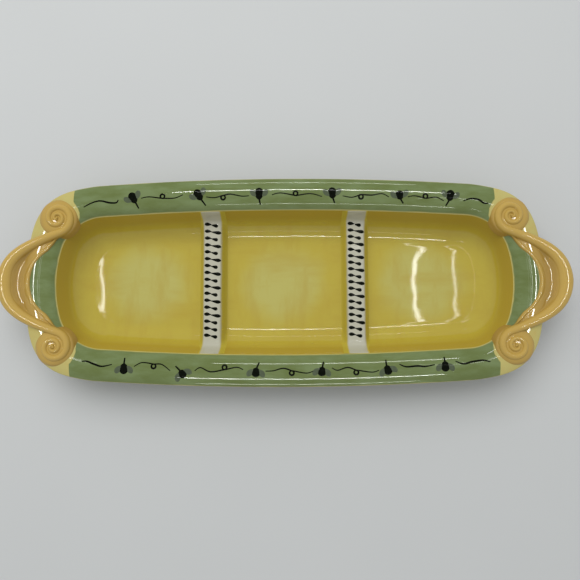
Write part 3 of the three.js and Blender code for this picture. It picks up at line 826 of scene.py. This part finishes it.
class DISH_OT_ridges(bpy.types.Operator):
    """Lays the two ridges across the well, turning up its walls at both ends"""

    bl_idname = "dish.make_ridges"
    bl_label = "Ridges"

    def execute(self, context):
        dish = context.scene.condiment_dish
        levels, ridge = Levels(dish), dish.divider
        middle = ridge.spacing / 2
        reach = levels.outline.half_width(middle)
        foot = ridge.crest / 2 + ridge.flare
        flank = [foot - ridge.flare * step / FLANK_STEPS for step in range(FLANK_STEPS + 1)]
        crest = [ridge.crest / 4, 0.0, -ridge.crest / 4]
        rings = []
        for step in range(RIDGE_STEPS + 1):
            along = reach * math.sin(math.pi * (step / RIDGE_STEPS - 0.5)) * RIDGE_SHARE
            ring = []
            for across in flank + crest + [-place for place in reversed(flank)]:
                sunk = RIDGE_SUNK if abs(across) == foot else 0.0
                ring.append((middle + across, along, ridge_height(dish, levels, across, along) - sunk))
            root = levels.well_height(abs(along) - reach) - RIDGE_ROOT
            rings.append(ring + [(middle - foot, along, root), (middle + foot, along, root)])
        finish_ends("ridge", rings, ridge_glaze(dish), "divider")
        return {"FINISHED"}


class Station:
    """A place along the coil of a handle: its point, its way and its right, half its width and its height."""

    def __init__(self, point, along, half, rise):
        self.point, self.along, self.half, self.rise = point, along.normalized(), half, rise
        self.right = Vector((self.along.y, -self.along.x))

    def mirrored(self):
        """The same place on the other side of the handle."""
        point, along = Vector((self.point.x, -self.point.y)), Vector((-self.along.x, self.along.y))
        return Station(point, along, self.half, self.rise)


def coil_way(dish, levels):
    """The coil of the +X handle from its tip to the eye at +Y: the roll, and the spiral."""
    handle = dish.handle
    sweep = 2 * math.pi * handle.scroll_turns

    def spiral_at(turn):
        thinner = (handle.scroll_coil - handle.scroll_band) * turn / sweep
        drawn_in = (handle.scroll_band + thinner / 2 + handle.scroll_gap) * turn / (2 * math.pi)
        pitch = (handle.scroll_band + thinner + handle.scroll_gap) / (2 * math.pi)
        radius, way = handle.scroll_radius - drawn_in, handle.scroll_start - turn
        spoke = Vector((math.cos(way), math.sin(way)))
        along = Vector((spoke.y, -spoke.x)) * radius - spoke * pitch
        half = (handle.scroll_band + thinner) / 2
        return Station(levels.eye + spoke * radius, along, half, handle.scroll_height)

    entry = spiral_at(0.0)
    tip_half = handle.coil_width / 2
    tip = Vector((dish.well.length / 2 + handle.reach - tip_half, 0.0))
    points = interpolate_bezier(
        tip,
        tip + Vector((0.0, handle.tip_pull)),
        entry.point - entry.along * handle.scroll_pull,
        entry.point,
        ROLL_STEPS + 1,
    )
    points = [Vector(point[:2]) for point in points]
    roll = []
    for step in range(ROLL_STEPS):
        share = step / ROLL_STEPS
        along = points[step + 1] - points[max(step - 1, 0)] if step else Vector((0.0, 1.0))
        half = tip_half + (entry.half - tip_half) * share
        rise = handle.coil_height + (entry.rise - handle.coil_height) * share
        roll.append(Station(points[step], along, half, rise))
    steps = round(SPIRAL_STEPS * handle.scroll_turns)
    return roll, [spiral_at(sweep * step / steps) for step in range(steps + 1)]


def both_sides(stations):
    """Stations from the -Y end to the +Y end."""
    return [station.mirrored() for station in reversed(stations[1:])] + stations


COIL_LEAN = 0.1  # share of what half the roll's width gains on half the width where the spiral starts
COIL_PRESS = 0.85  # power of the coil's half round, which presses its top a little flat
COIL_SUNK = 1.0 * MM  # how deep the coil lies in the grip
SCROLL_SUNK = 3.5 * MM  # and how much deeper near the spiral, where its flanks reach down to the lip
SUNK_FROM, SUNK_OVER = 0.5, 0.25  # where it gets deeper, in shares of the way out to the eye
THIN_FOOT = (1.0, 1.0, 0.75, 0.25)  # how thin the glaze runs along the roll's outer foot, from its edge up
# Sections from the middle outwards. The boss: shares of its radius, and millimetres above the coil's bed.
# The eye: shares of its radius and of the coil's height.
BOSS_DOME = ((0.0, 3.1), (0.45, 3.0), (0.75, 2.4), (0.9, 1.4), (0.97, 0.4), (1.0, -0.7))
BOSS_EDGE = 0.3 * MM  # how far the boss reaches beyond the spiral
BOSS_SKIRT = (0.6, -2.6 * MM)  # share of the boss's flare, and height from the bed
BOSS_SUNK = 0.8 * MM  # how deep the boss stands in the lip
EYE_DOME = ((0.0, 1.0), (0.5, 0.94), (0.85, 0.75), (1.0, 0.4), (1.0, 0.0), (0.0, 0.0))


def coil_lean(dish, station):
    """How far the coil's crest leans outwards, more so towards the handle's tip."""
    return station.right * COIL_LEAN * max(station.half - dish.handle.scroll_band / 2, 0.0)


class DISH_OT_scrolls(bpy.types.Operator):
    """Rolls a coil of clay along each handle and curls it into a spiral on a boss at both ends"""

    bl_idname = "dish.make_scrolls"
    bl_label = "Scrolls"

    def execute(self, context):
        dish = context.scene.condiment_dish
        levels, handle = Levels(dish), dish.handle
        roll, spiral = coil_way(dish, levels)
        rings = []
        for station in both_sides(roll + spiral):
            lean, ring = coil_lean(dish, station), []
            for step in range(COIL_STEPS + 1):
                turn = math.pi * step / COIL_STEPS
                side, up = math.cos(turn), max(math.sin(turn), 0.0)
                place = station.point + station.right * station.half * side + lean * up
                ring.append((*place, levels.bed + station.rise * up**COIL_PRESS))
            near = soft_step((abs(station.point.y) / levels.eye.y - SUNK_FROM) / SUNK_OVER)
            for side in (-1, 1):
                place = station.point + station.right * station.half * side
                ring.append((*place, levels.bed - COIL_SUNK - SCROLL_SUNK * near))
            rings.append(ring)
        boss = handle.scroll_radius + handle.scroll_band / 2 + BOSS_EDGE
        seat = levels.border - BOSS_SUNK
        dome = [(boss * share, levels.bed + rise * MM) for share, rise in BOSS_DOME]
        dome.append((boss + handle.boss_flare * BOSS_SKIRT[0], levels.bed + BOSS_SKIRT[1]))
        dome += [(boss + handle.boss_flare, seat), (0.0, seat)]
        eye = [(handle.eye * share, levels.bed + handle.scroll_height * rise) for share, rise in EYE_DOME]
        for end_name, end in ENDS:
            bm = bmesh.new()
            # Both layers come before the first point, because a layer added later unsettles the points.
            thin = bm.verts.layers.float.new("thin")
            bm.verts.layers.float.new("across")
            laid = loft(bm, rings)
            for ring in laid[len(spiral) : -len(spiral)]:
                for vert, share in zip([ring[-1], *ring[:3]], THIN_FOOT):
                    vert[thin] = share
            for side in (1, -1):
                axis = (levels.eye.x, side * levels.eye.y, 0.0)
                for turned in (dome, eye):
                    section = Profile(*turned[0])
                    for point in turned[1:]:
                        section.line(*point)
                    bmesh.ops.spin(
                        bm,
                        geom=section.draw(bm, *axis[:2]),
                        cent=axis,
                        axis=Z_AXIS,
                        angle=2 * math.pi,
                        steps=BOSS_STEPS,
                        use_merge=True,
                    )
            flip(bm, end, 1)
            finish_piece(
                f"scroll_coil_{end_name}", bm, peach_glaze(dish), [f"scroll_{end_name}"]
            )
        return {"FINISHED"}


GRIP_CLEAR = 2.5 * MM  # least distance from the well to the grip's inner edge
GRIP_NUDGE = 0.25 * MM  # by which the edge moves out to get there
DISHED_FROM, DISHED_OVER = 5 * MM, 12 * MM  # width where a grip's hollow starts, and over which it deepens
HOLLOW_LEAST = 0.4 * MM  # depth of the hollow below the bead where the grip is narrow
HOLLOW_PLACE = 0.7  # of the way from the bead to the roll
ROLL_FLANK = (0.86, 0.5)  # where the grip meets the roll, in shares of its half width and its height
TUCK_SHARE, TUCK_FROM = 0.9, 0.8  # how far the inner edge tucks in under the coil, and from which share
# The bead on the inner edge: its greatest width, and its greatest share of the face up to the roll. Then its
# points: shares of its width, and millimetres below its top.
BEAD_ROUND, BEAD_MOST = 1.8 * MM, 0.4
BEAD = ((0.0, 4.0), (0.0, 1.3), (0.25, 0.45), (0.6, 0.1), (1.0, 0.0))
# The outer edge under the roll: millimetres inwards, and above the coil's bed.
GRIP_EDGE = ((0.9, 0.6), (0.15, -0.4), (0.4, -2.4), (1.6, -4.8), (3.8, -6.8))
ROLL_CORE = 0.3  # share of the roll's height, to which the grip reaches up inside it
FALL_SHARE, FALL_OVER = 0.6, 0.4  # share of the hollow's fall straight behind the bead, and of the way there
GRIP_BELLY = 6.6 * MM  # from the outer edge to the flat underside
BELLY_RISE = 0.2 * MM  # towards the tail
TAIL_CLEAR, TAIL_LONG = 4 * MM, 8 * MM  # a tail under the lip: its distance from the well, and its length
# Its points, inwards from the inner edge: shares of its length, and millimetres over the lip's underside.
TAIL_START, TAIL = 0.1, ((0.7, -0.4), (1.0, 1.5))
LIP_COVER = 0.3 * MM  # least height of a grip's upper face over the lip
FACE_BELOW, FACE_FROM = 1.5 * MM, 0.1 * MM  # that face: how far it goes below the bed, and where it starts


class DISH_OT_grips(bpy.types.Operator):
    """Lays the dished grip between each crescent and its coil"""

    bl_idname = "dish.make_grips"
    bl_label = "Grips"

    def execute(self, context):
        dish = context.scene.condiment_dish
        levels, handle = Levels(dish), dish.handle
        roll, spiral = coil_way(dish, levels)
        hub, entry = Vector((levels.grip_centre, 0.0)), spiral[0].point
        middle = levels.grip_arc - handle.crescent_round
        low = levels.bed - handle.dish - handle.thickness
        bead_z = levels.bed + handle.bead
        rings = []
        for station in both_sides(roll + spiral[:1]):
            out = (station.point - hub).normalized()
            # From the hub to the round inner edge, and from there to the middle of the roll.
            start = middle * out.x + math.sqrt(handle.crescent_round**2 - (middle * out.y) ** 2)
            while levels.outline.offset_of(*(hub + out * start)) < GRIP_CLEAR:
                start += GRIP_NUDGE
            width = (station.point - hub).length - start
            depth = min(max((width - DISHED_FROM) / DISHED_OVER, 0.0), 1.0)
            flank = (width - ROLL_FLANK[0] * station.half, levels.bed + ROLL_FLANK[1] * station.rise)
            # Towards the spiral the inner edge tucks in under the coil.
            near = soft_step((abs(station.point.y) / entry.y - TUCK_FROM) / (1 - TUCK_FROM))
            tuck = TUCK_SHARE * flank[0] * near
            soft = min(BEAD_ROUND, BEAD_MOST * (flank[0] - tuck))
            bead = tuck + soft
            hollow = (
                bead + HOLLOW_PLACE * (flank[0] - bead),
                bead_z - HOLLOW_LEAST - depth * (handle.bead + handle.dish - HOLLOW_LEAST),
            )
            face = [(tuck + soft * share, bead_z - drop * MM) for share, drop in BEAD]
            for step in range(1, HOLLOW_STEPS + 1):
                share = step / HOLLOW_STEPS
                fall = FALL_SHARE * soft_step(share / FALL_OVER) + (1 - FALL_SHARE) * soft_step(share)
                face.append((bead + (hollow[0] - bead) * share, bead_z + (hollow[1] - bead_z) * fall))
            for step in range(1, CLIMB_STEPS + 1):
                share = step / CLIMB_STEPS
                climb = 1 - math.cos(math.pi / 2 * share)
                face.append(
                    (hollow[0] + (flank[0] - hollow[0]) * share, hollow[1] + (flank[1] - hollow[1]) * climb)
                )
            edge = width + station.half
            face.append((width, levels.bed + ROLL_CORE * station.rise))
            face += [(edge - inwards * MM, levels.bed + rise * MM) for inwards, rise in GRIP_EDGE]
            inner = hub + out * (start + tuck)
            tail = min(max(levels.outline.offset_of(*inner) - TAIL_CLEAR, 0.0), TAIL_LONG)
            face += [(edge - GRIP_BELLY, low), (tuck - TAIL_START * tail, low + BELLY_RISE)]
            face += [(tuck - share * tail, levels.lip_under + rise * MM) for share, rise in TAIL]
            ring = []
            for reach, z in face:
                place = hub + out * (start + reach)
                offset = levels.outline.offset_of(*place)
                upper = z > levels.bed - FACE_BELOW and reach > tuck + FACE_FROM
                if upper and offset < levels.lip_width:
                    z = max(z, levels.lip_height(offset) + LIP_COVER)
                ring.append((*place, z))
            rings.append(ring)
        finish_ends("dished_grip", rings, peach_glaze(dish), "grip")
        return {"FINISHED"}


# Brushwork


PAINT_ROOT = 0.12 * MM  # how deep the paint lies in the glaze
LEAST_HALF = 0.02 * MM  # half the width of a stroke's ends
FULL_HALF = 0.5 * MM  # half the width from which a stroke has its full body
# Across a stroke: shares of its half width and of its body.
STROKE_TOP = ((-1.0, 0.0), (-0.6, 0.8), (0.0, 1.0), (0.6, 0.8), (1.0, 0.0))


def smooth_way(points, steps):
    """A brush's way through points, as one smooth curve."""
    way = []
    # The pull at each point is a sixth of the way between its neighbours, which keeps the curve even.
    for here in range(len(points) - 1):
        there = here + 1
        before, after = points[max(here - 1, 0)], points[min(there + 1, len(points) - 1)]
        leave = points[here] + (points[there] - before) / 6
        arrive = points[there] - (after - points[here]) / 6
        part = interpolate_bezier(points[here], leave, arrive, points[there], steps + 1)
        way += [Vector(point[:2]) for point in part[:-1]]
    return way + [points[-1]]


def brush_stroke(bm, surface, way, half_at, body):
    """Lays a stroke of paint on a surface: a thin lens that thins out to its edges and both ends."""
    rings = []
    for index, point in enumerate(way):
        step = (way[min(index + 1, len(way) - 1)] - way[max(index - 1, 0)]).normalized()
        half = max(half_at(index / (len(way) - 1)), LEAST_HALF)
        out = Vector((-step.y, step.x)) * half
        full = body * min(half / FULL_HALF, 1.0)
        ring = [surface(*(point + out * side), full * rise) for side, rise in STROKE_TOP]
        rings.append(ring + [surface(*(point + out * side), -PAINT_ROOT) for side in (0.6, -0.6)])
    loft(bm, rings)


def millimetres(*values):
    """A point written in millimetres."""
    return Vector(values) * MM


# Painted sprigs on the long borders, in millimetres along the border and outwards from the well:
# the bud's outer end, its inner end, and the tip of its stem.
BACK_SPRIGS = (
    ((-123.0, 16.8), (-119.4, 9.3), (-117.3, 4.5)),
    ((-70.4, 16.7), (-66.3, 9.1), (-62.9, 4.3)),
    ((-19.5, 16.9), (-19.6, 8.3), (-18.7, 4.1)),
    ((39.0, 17.1), (39.7, 9.1), (41.4, 5.2)),
    ((92.9, 15.7), (94.0, 9.6), (96.6, 6.2)),
    ((134.2, 18.1), (133.3, 10.2), (130.7, 5.8)),
)
FRONT_SPRIGS = (
    ((-125.6, 17.7), (-126.0, 10.4), (-125.9, 5.6)),
    ((-78.1, 18.4), (-81.1, 13.7), (-85.2, 10.3)),
    ((-22.1, 16.8), (-21.7, 10.6), (-19.3, 6.1)),
    ((29.5, 16.3), (30.1, 10.2), (31.3, 5.8)),
    ((82.1, 16.7), (80.4, 10.5), (80.2, 5.7)),
    ((126.1, 16.5), (126.4, 9.5), (126.1, 5.8)),
)
# Tendrils between the sprigs. A third number puts a small loop there, outwards (1) or inwards (-1).
BACK_TENDRILS = (
    ((-158.8, 10.1), (-148.8, 12.5), (-140.8, 10.5), (-135.0, 10.1), (-133.2, 12.3)),
    ((-114.7, 12.4), (-108.3, 13.2), (-97.4, 11.4, 1), (-87.6, 11.2), (-80.9, 13.6)),
    ((-62.2, 11.1), (-55.3, 10.3), (-48.6, 11.9, -1), (-42.6, 12.8), (-33.4, 10.9), (-27.6, 11.2)),
    ((-9.2, 11.6), (-2.3, 13.1), (9.8, 11.0, 1), (21.9, 12.5), (31.1, 10.2)),
    ((47.7, 11.0), (55.2, 9.9), (62.4, 12.2, -1), (71.2, 12.0), (79.2, 13.4), (84.8, 10.9)),
    ((99.9, 11.4), (105.6, 12.6), (114.0, 11.0, 1), (122.7, 12.2), (128.8, 9.6)),
    ((144.5, 10.4), (149.6, 12.6), (154.6, 12.8), (158.0, 11.2), (160.6, 12.4)),
)
FRONT_TENDRILS = (
    ((-157.0, 11.6), (-153.6, 10.6), (-148.5, 12.2), (-143.0, 13.3), (-135.4, 11.3)),
    ((-117.8, 11.9), (-111.8, 8.6), (-102.5, 9.4, 1), (-96.0, 9.4), (-89.2, 14.0)),
    ((-69.9, 13.4), (-65.5, 10.8), (-57.5, 13.9), (-46.6, 11.9, -1), (-37.0, 10.0), (-32.0, 11.8)),
    ((-14.4, 12.8), (-8.2, 12.5), (-0.4, 10.6), (6.2, 12.6, 1), (17.5, 14.5), (23.1, 12.9)),
    ((37.7, 10.7), (42.1, 12.7), (50.0, 10.6), (56.6, 13.0, 1), (68.8, 14.9), (74.4, 13.6)),
    ((90.6, 9.5), (95.8, 11.8), (104.7, 11.6), (110.3, 12.3), (118.2, 11.3)),
    ((134.5, 9.5), (140.5, 12.1), (147.3, 10.9), (154.0, 10.8), (158.2, 13.6)),
)
LOOP_RADIUS = 1.7 * MM
LOOP_STEPS = 8
LOOP_DRIFT = 0.7 * MM  # how far along a loop ends from its start
# Places on a sprig, in millimetres: how far a bud is drawn beyond its ends, and how its stem bends.
BUD_OVER, STEM_BEND = (0.8, 0.6), 0.2
# A leaf's root, its tip and the bow of its middle: outwards from the middle of the bud, and along the bud.
LEAF = ((1.2, -1.8), (6.6, 3.6), (0.5, -0.4))
# Rows of drops on the ridges, in millimetres: their count, and the first and the last place along the ridge.
DROP_ROWS = (("left", -1, 17, 49.6, -43.4), ("right", 1, 18, 49.6, -43.0))
# Their points across the ridge, and along it from their place in the row.
LEFT_DROP = ((-0.9, 0.0), (-3.6, 0.4), (-6.6, 0.5))
LONG_DROP = ((-1.0, -0.2), (3.6, -0.9), (7.2, -1.3))
SHORT_DROP = ((-1.0, -0.2), (2.3, -0.9), (4.6, -1.3))
# Body of the paint, and its gloss as a share of the glaze's.
BUD_BODY, STEM_BODY, LEAF_BODY, TENDRIL_BODY, DROP_BODY = (
    body * MM for body in (0.14, 0.12, 0.07, 0.1, 0.12)
)
INK_COAT, WASH_COAT = 0.15, 0.5
STROKE_STEPS, STEM_STEPS, TENDRIL_STEPS, DROP_STEPS = 9, 5, 4, 8  # between two points of a brush's way


def tendril_way(points):
    """A tendril's way with its small loop drawn in."""
    way = []
    for along, out, *loop in points:
        knot = millimetres(along, out)
        way.append(knot)
        for side in loop:
            for step in range(1, LOOP_STEPS):
                turn = 2 * math.pi * step / LOOP_STEPS
                way.append(knot + LOOP_RADIUS * Vector((math.sin(turn), side * (1 - math.cos(turn)))))
            way.append(knot + Vector((LOOP_DRIFT, 0.0)))
    return smooth_way(way, TENDRIL_STEPS)


# Half the width of each stroke, by the share of its way. The powers put its belly where the brush pressed.


def bud(share):
    """Plump, and fullest a little towards its outer end."""
    return 3.6 * MM * max(math.sin(math.pi * share**0.9), 0.0) ** 0.75


def leaf(share):
    """Slim, and fullest a little towards its tip."""
    return 2.3 * MM * math.sin(math.pi * share**1.15) ** 0.7


def stem(share):
    """A line that thins out a little."""
    return (0.75 - 0.2 * share) * MM


def tendril(share):
    """A fine line, pressed most in its middle."""
    return (0.34 + 0.42 * math.sin(math.pi * share)) * MM


def drop(share):
    """A thin start that ends in a round drop."""
    return 1.4 * MM * math.sin(math.pi * min(share, 0.98) ** 1.6) ** 0.8 + 0.3 * MM * (1 - share)


class DISH_OT_brushwork(bpy.types.Operator):
    """Paints sprigs and tendrils on the long borders and rows of drops on the ridges"""

    bl_idname = "dish.paint"
    bl_label = "Brushwork"

    def execute(self, context):
        dish = context.scene.condiment_dish
        levels = Levels(dish)
        ink = brush_paint("painted_ink_under_glaze", dish.colours.ink, INK_COAT)
        wash = brush_paint("painted_leaf_wash_under_glaze", dish.colours.leaf, WASH_COAT)
        rows = (("back", 1, BACK_SPRIGS, BACK_TENDRILS), ("front", -1, FRONT_SPRIGS, FRONT_TENDRILS))
        for side_name, side, sprigs, tendrils in rows:

            def border(along, out, lift, side=side):
                place = levels.outline.place(along, out)
                return (place.x, side * place.y, levels.lip_height(out) + lift)

            dark, pale = bmesh.new(), bmesh.new()
            for sprig in sprigs:
                outer, inner, tip = (millimetres(*point) for point in sprig)
                middle, axis = (outer + inner) / 2, (outer - inner).normalized() * MM
                way = [outer + axis * BUD_OVER[0], middle, inner - axis * BUD_OVER[1]]
                brush_stroke(dark, border, smooth_way(way, STROKE_STEPS), bud, BUD_BODY)
                way = [inner + axis, (inner + tip) / 2 + axis * STEM_BEND, tip]
                brush_stroke(dark, border, smooth_way(way, STEM_STEPS), stem, STEM_BODY)
                for hand in (-1, 1):
                    cross = Vector((axis.y, -axis.x)) * hand
                    root, end, bow = (cross * out + axis * along for out, along in LEAF)
                    way = [middle + root, middle + (root + end) / 2 + bow, middle + end]
                    brush_stroke(pale, border, smooth_way(way, STROKE_STEPS), leaf, LEAF_BODY)
            for points in tendrils:
                brush_stroke(dark, border, tendril_way(points), tendril, TENDRIL_BODY)
            finish_piece(f"painted_sprigs_{side_name}", dark, ink)
            finish_piece(f"painted_leaves_{side_name}", pale, wash)

        for end_name, end, count, first, last in DROP_ROWS:

            def crest(across, along, lift, end=end):
                z = ridge_height(dish, levels, across, along)
                return (end * dish.divider.spacing / 2 + across, along, z + lift)

            bm = bmesh.new()
            for row in range(count):
                along = first + (last - first) * row / (count - 1)
                right_drop = LONG_DROP if row % 2 == 1 and row < count - 2 else SHORT_DROP
                for points in (LEFT_DROP, right_drop):
                    way = [millimetres(across, along + drift) for across, drift in points]
                    brush_stroke(bm, crest, smooth_way(way, DROP_STEPS), drop, DROP_BODY)
            finish_piece(f"painted_drops_{end_name}", bm, ink)
        return {"FINISHED"}


# Stage


# Places and sizes are in metres.
EYE_POINT = Vector((0.009, -0.0409, 0.4609))  # of the camera
EYE_TURN = (4.57, 0.55, -0.22)  # in degrees
SENSOR = 36.0  # in millimetres
FOCAL_SHARE = 530 / 580  # of the picture's width
CARD_HALF = 2.5
SKY_TINT, SKY_STRENGTH, WHITE = (0.97, 0.985, 1.0, 1.0), 0.55, (1.0, 1.0, 1.0, 1.0)
OVERHEAD_PLACE, OVERHEAD_SIZE, OVERHEAD_WATTS = Vector((-0.25, 0.72, 1.3)), (1.5, 1.1), 14.3
SHADE, BENT_SHADE = math.radians(8), math.radians(2.6)  # half the opening of a strip lamp's shade
# Heights of the glaze in which the strip lamps are seen.
LIP_TOP, ROLL_TOP, WELL_FLOOR = 0.04, 0.044, 0.01
# Long strips, seen as lines along the borders and in the coves of the wells: name, place across, place of the
# highlight, first and last place along, brightness.
STRIP_THICK, STRIP_PARTS = 0.008, 10
STRIPS = (
    ("back_near", 0.2, 0.073, -0.19, 0.26, 60.0),
    ("back_far", 0.523, 0.079, -0.19, 0.26, 30.0),
    ("front_near", -0.25, -0.075, -0.19, 0.26, 60.0),
    ("front_far", -0.484, -0.08, -0.19, 0.26, 30.0),
    ("cove_back", -0.17, 0.03, -0.12, 0.26, 48.0),
    ("cove_front", 0.1, -0.026, -0.12, 0.26, 40.0),
)
# Rings, seen as loops in the wells: name, middle along, half width, half depth, thickness, brightness.
RING_ACROSS, RING_PARTS = 0.041, 12
RINGS = (
    ("ring_left", -0.318, 0.016, 0.058, 0.003, 18.0),
    ("ring_right", 0.262, 0.068, 0.06, 0.005, 18.0),
    ("loop_right", 0.281, 0.018, 0.052, 0.003, 14.0),
)
# Bent lamps, seen along the rolls; each of their strips spans some stations of the roll.
BENT_THICK, BENT_BRIGHTNESS, BENT_STRIDE = 0.04, 44.0, 4


def lamp(name, place, turn, size, watts):
    """A rectangular lamp that isn't seen itself."""
    light = bpy.data.lights.new(name, "AREA")
    light.shape = "RECTANGLE"
    light.size, light.size_y = size
    light.energy = watts
    made = bpy.data.objects.new(name, light)
    made.location = place
    made.rotation_euler = turn
    made.visible_camera = False
    bpy.context.scene.collection.objects.link(made)
    return made


def between(points):
    """The points half-way from each point to the next."""
    return [(here + there) / 2 for here, there in zip(points, points[1:])]


def glints(name, stops, targets, thick, brightness, shade=SHADE):
    """A chain of strip lamps, each shaded to draw only its own highlight in the glaze round its target."""
    gathered = math.tan(shade) / (math.tan(shade) - shade)  # what the shade adds to the light straight ahead
    for index, target in enumerate(targets):
        here, there = stops[index : index + 2]
        spot, way = (here + there) / 2, there - here
        back = (spot - target).normalized()
        along = (way - back * way.dot(back)).normalized()
        turn = Matrix((along, back.cross(along), back)).transposed().to_euler()
        watts = brightness * math.pi * way.length * thick / gathered
        strip = lamp(f"{name}_{index}", spot, turn, (way.length, thick), watts)
        strip.data.spread = 2 * shade
        strip.visible_diffuse = False


class DISH_OT_stage(bpy.types.Operator):
    """Lays a pale card under the dish, lights it softly and sets the camera above it"""

    bl_idname = "dish.make_stage"
    bl_label = "Stage"

    def execute(self, context):
        scene = context.scene
        dish = scene.condiment_dish
        bm = bmesh.new()
        bmesh.ops.create_grid(bm, x_segments=1, y_segments=1, size=CARD_HALF)
        mesh = bpy.data.meshes.new("card")
        bm.to_mesh(mesh)
        bm.free()
        card = bpy.data.objects.new("card", mesh)
        scene.collection.objects.link(card)
        mesh.materials.append(matt_card(dish))

        turn = OVERHEAD_PLACE.to_track_quat("Z", "Y").to_euler()
        overhead = lamp("overhead", OVERHEAD_PLACE, turn, OVERHEAD_SIZE, OVERHEAD_WATTS)
        overhead.visible_glossy = False
        for name, y, aim_y, first, last, brightness in STRIPS:
            places = [first + (last - first) * step / STRIP_PARTS for step in range(STRIP_PARTS + 1)]
            stops = [Vector((x, y, EYE_POINT.z)) for x in places]
            targets = [Vector(((spot.x + EYE_POINT.x) / 2, aim_y, LIP_TOP)) for spot in between(stops)]
            glints(name, stops, targets, STRIP_THICK, brightness)
        for name, middle, wide, deep, thick, brightness in RINGS:
            stops = []
            for step in range(RING_PARTS + 1):
                way = 2 * math.pi * step / RING_PARTS
                x, y = middle + wide * math.cos(way), RING_ACROSS + deep * math.sin(way)
                stops.append(Vector((x, y, EYE_POINT.z)))
            halfway = [(spot + EYE_POINT) / 2 for spot in between(stops)]
            targets = [Vector((spot.x, spot.y, WELL_FLOOR)) for spot in halfway]
            glints(name, stops, targets, thick, brightness)
        # Bent lamps above both ends, each where the camera finds it mirrored in the crest of a roll.
        roll = both_sides(coil_way(dish, Levels(dish))[0])[::BENT_STRIDE]
        for end_name, end in ENDS:
            tops = [station.point + coil_lean(dish, station) for station in roll]
            crest = [Vector((end * top.x, top.y, ROLL_TOP)) for top in tops]
            stops = [Vector((*(2 * top - EYE_POINT)[:2], EYE_POINT.z)) for top in crest]
            glints(f"arc_{end_name}", stops, between(crest), BENT_THICK, BENT_BRIGHTNESS, BENT_SHADE)

        world = bpy.data.worlds.new("studio")
        world.use_nodes = True
        tree = world.node_tree
        tree.nodes.clear()
        seen = node(tree, "ShaderNodeLightPath", out="Is Camera Ray")
        soft = node(tree, "ShaderNodeBackground", {"Color": SKY_TINT, "Strength": SKY_STRENGTH})
        white = node(tree, "ShaderNodeBackground", {"Color": WHITE, "Strength": 1.0})
        sky = node(tree, "ShaderNodeMixShader", {0: seen, 1: soft, 2: white})
        node(tree, "ShaderNodeOutputWorld", {"Surface": sky}, out=None)
        scene.world = world

        lens = bpy.data.cameras.new("camera")
        lens.sensor_width = SENSOR
        lens.lens = SENSOR * FOCAL_SHARE
        lens.clip_start = 0.01
        camera = bpy.data.objects.new("camera", lens)
        camera.location = EYE_POINT
        camera.rotation_euler = Euler([math.radians(turn) for turn in EYE_TURN])
        scene.collection.objects.link(camera)
        scene.camera = camera
        scene.view_settings.view_transform = "Standard"
        return {"FINISHED"}


class DISH_PT_sidebar(bpy.types.Panel):
    """Lists the steps that build the dish"""

    bl_idname = "DISH_PT_sidebar"
    bl_label = "Condiment dish"
    bl_space_type = "VIEW_3D"
    bl_region_type = "UI"
    bl_category = "Condiment dish"

    def draw(self, context):
        for step in STEPS:
            self.layout.operator(step.bl_idname)
        dish = context.scene.condiment_dish
        for group in (dish.well, dish.lip, dish.divider, dish.handle, dish.colours):
            box = self.layout.box()
            for name in group.__annotations__:
                box.prop(group, name)


SETTINGS = (WellSizes, LipSizes, DividerSizes, HandleSizes, GlazeColours, DishSettings)
STEPS = (
    DISH_OT_well,
    DISH_OT_borders,
    DISH_OT_ridges,
    DISH_OT_grips,
    DISH_OT_scrolls,
    DISH_OT_brushwork,
    DISH_OT_stage,
)


def register():
    """Adds the settings, the steps and the panel."""
    for part in (*SETTINGS, *STEPS, DISH_PT_sidebar):
        bpy.utils.register_class(part)
    bpy.types.Scene.condiment_dish = PointerProperty(type=DishSettings)


def unregister():
    """Takes them away again."""
    del bpy.types.Scene.condiment_dish
    for part in reversed((*SETTINGS, *STEPS, DISH_PT_sidebar)):
        bpy.utils.unregister_class(part)


def main():
    """Builds the dish on its stage."""
    register()
    bpy.ops.dish.make_well()
    bpy.ops.dish.make_borders()
    bpy.ops.dish.make_ridges()
    bpy.ops.dish.make_grips()
    bpy.ops.dish.make_scrolls()
    bpy.ops.dish.paint()
    bpy.ops.dish.make_stage()


if __name__ == "__main__":
    main()
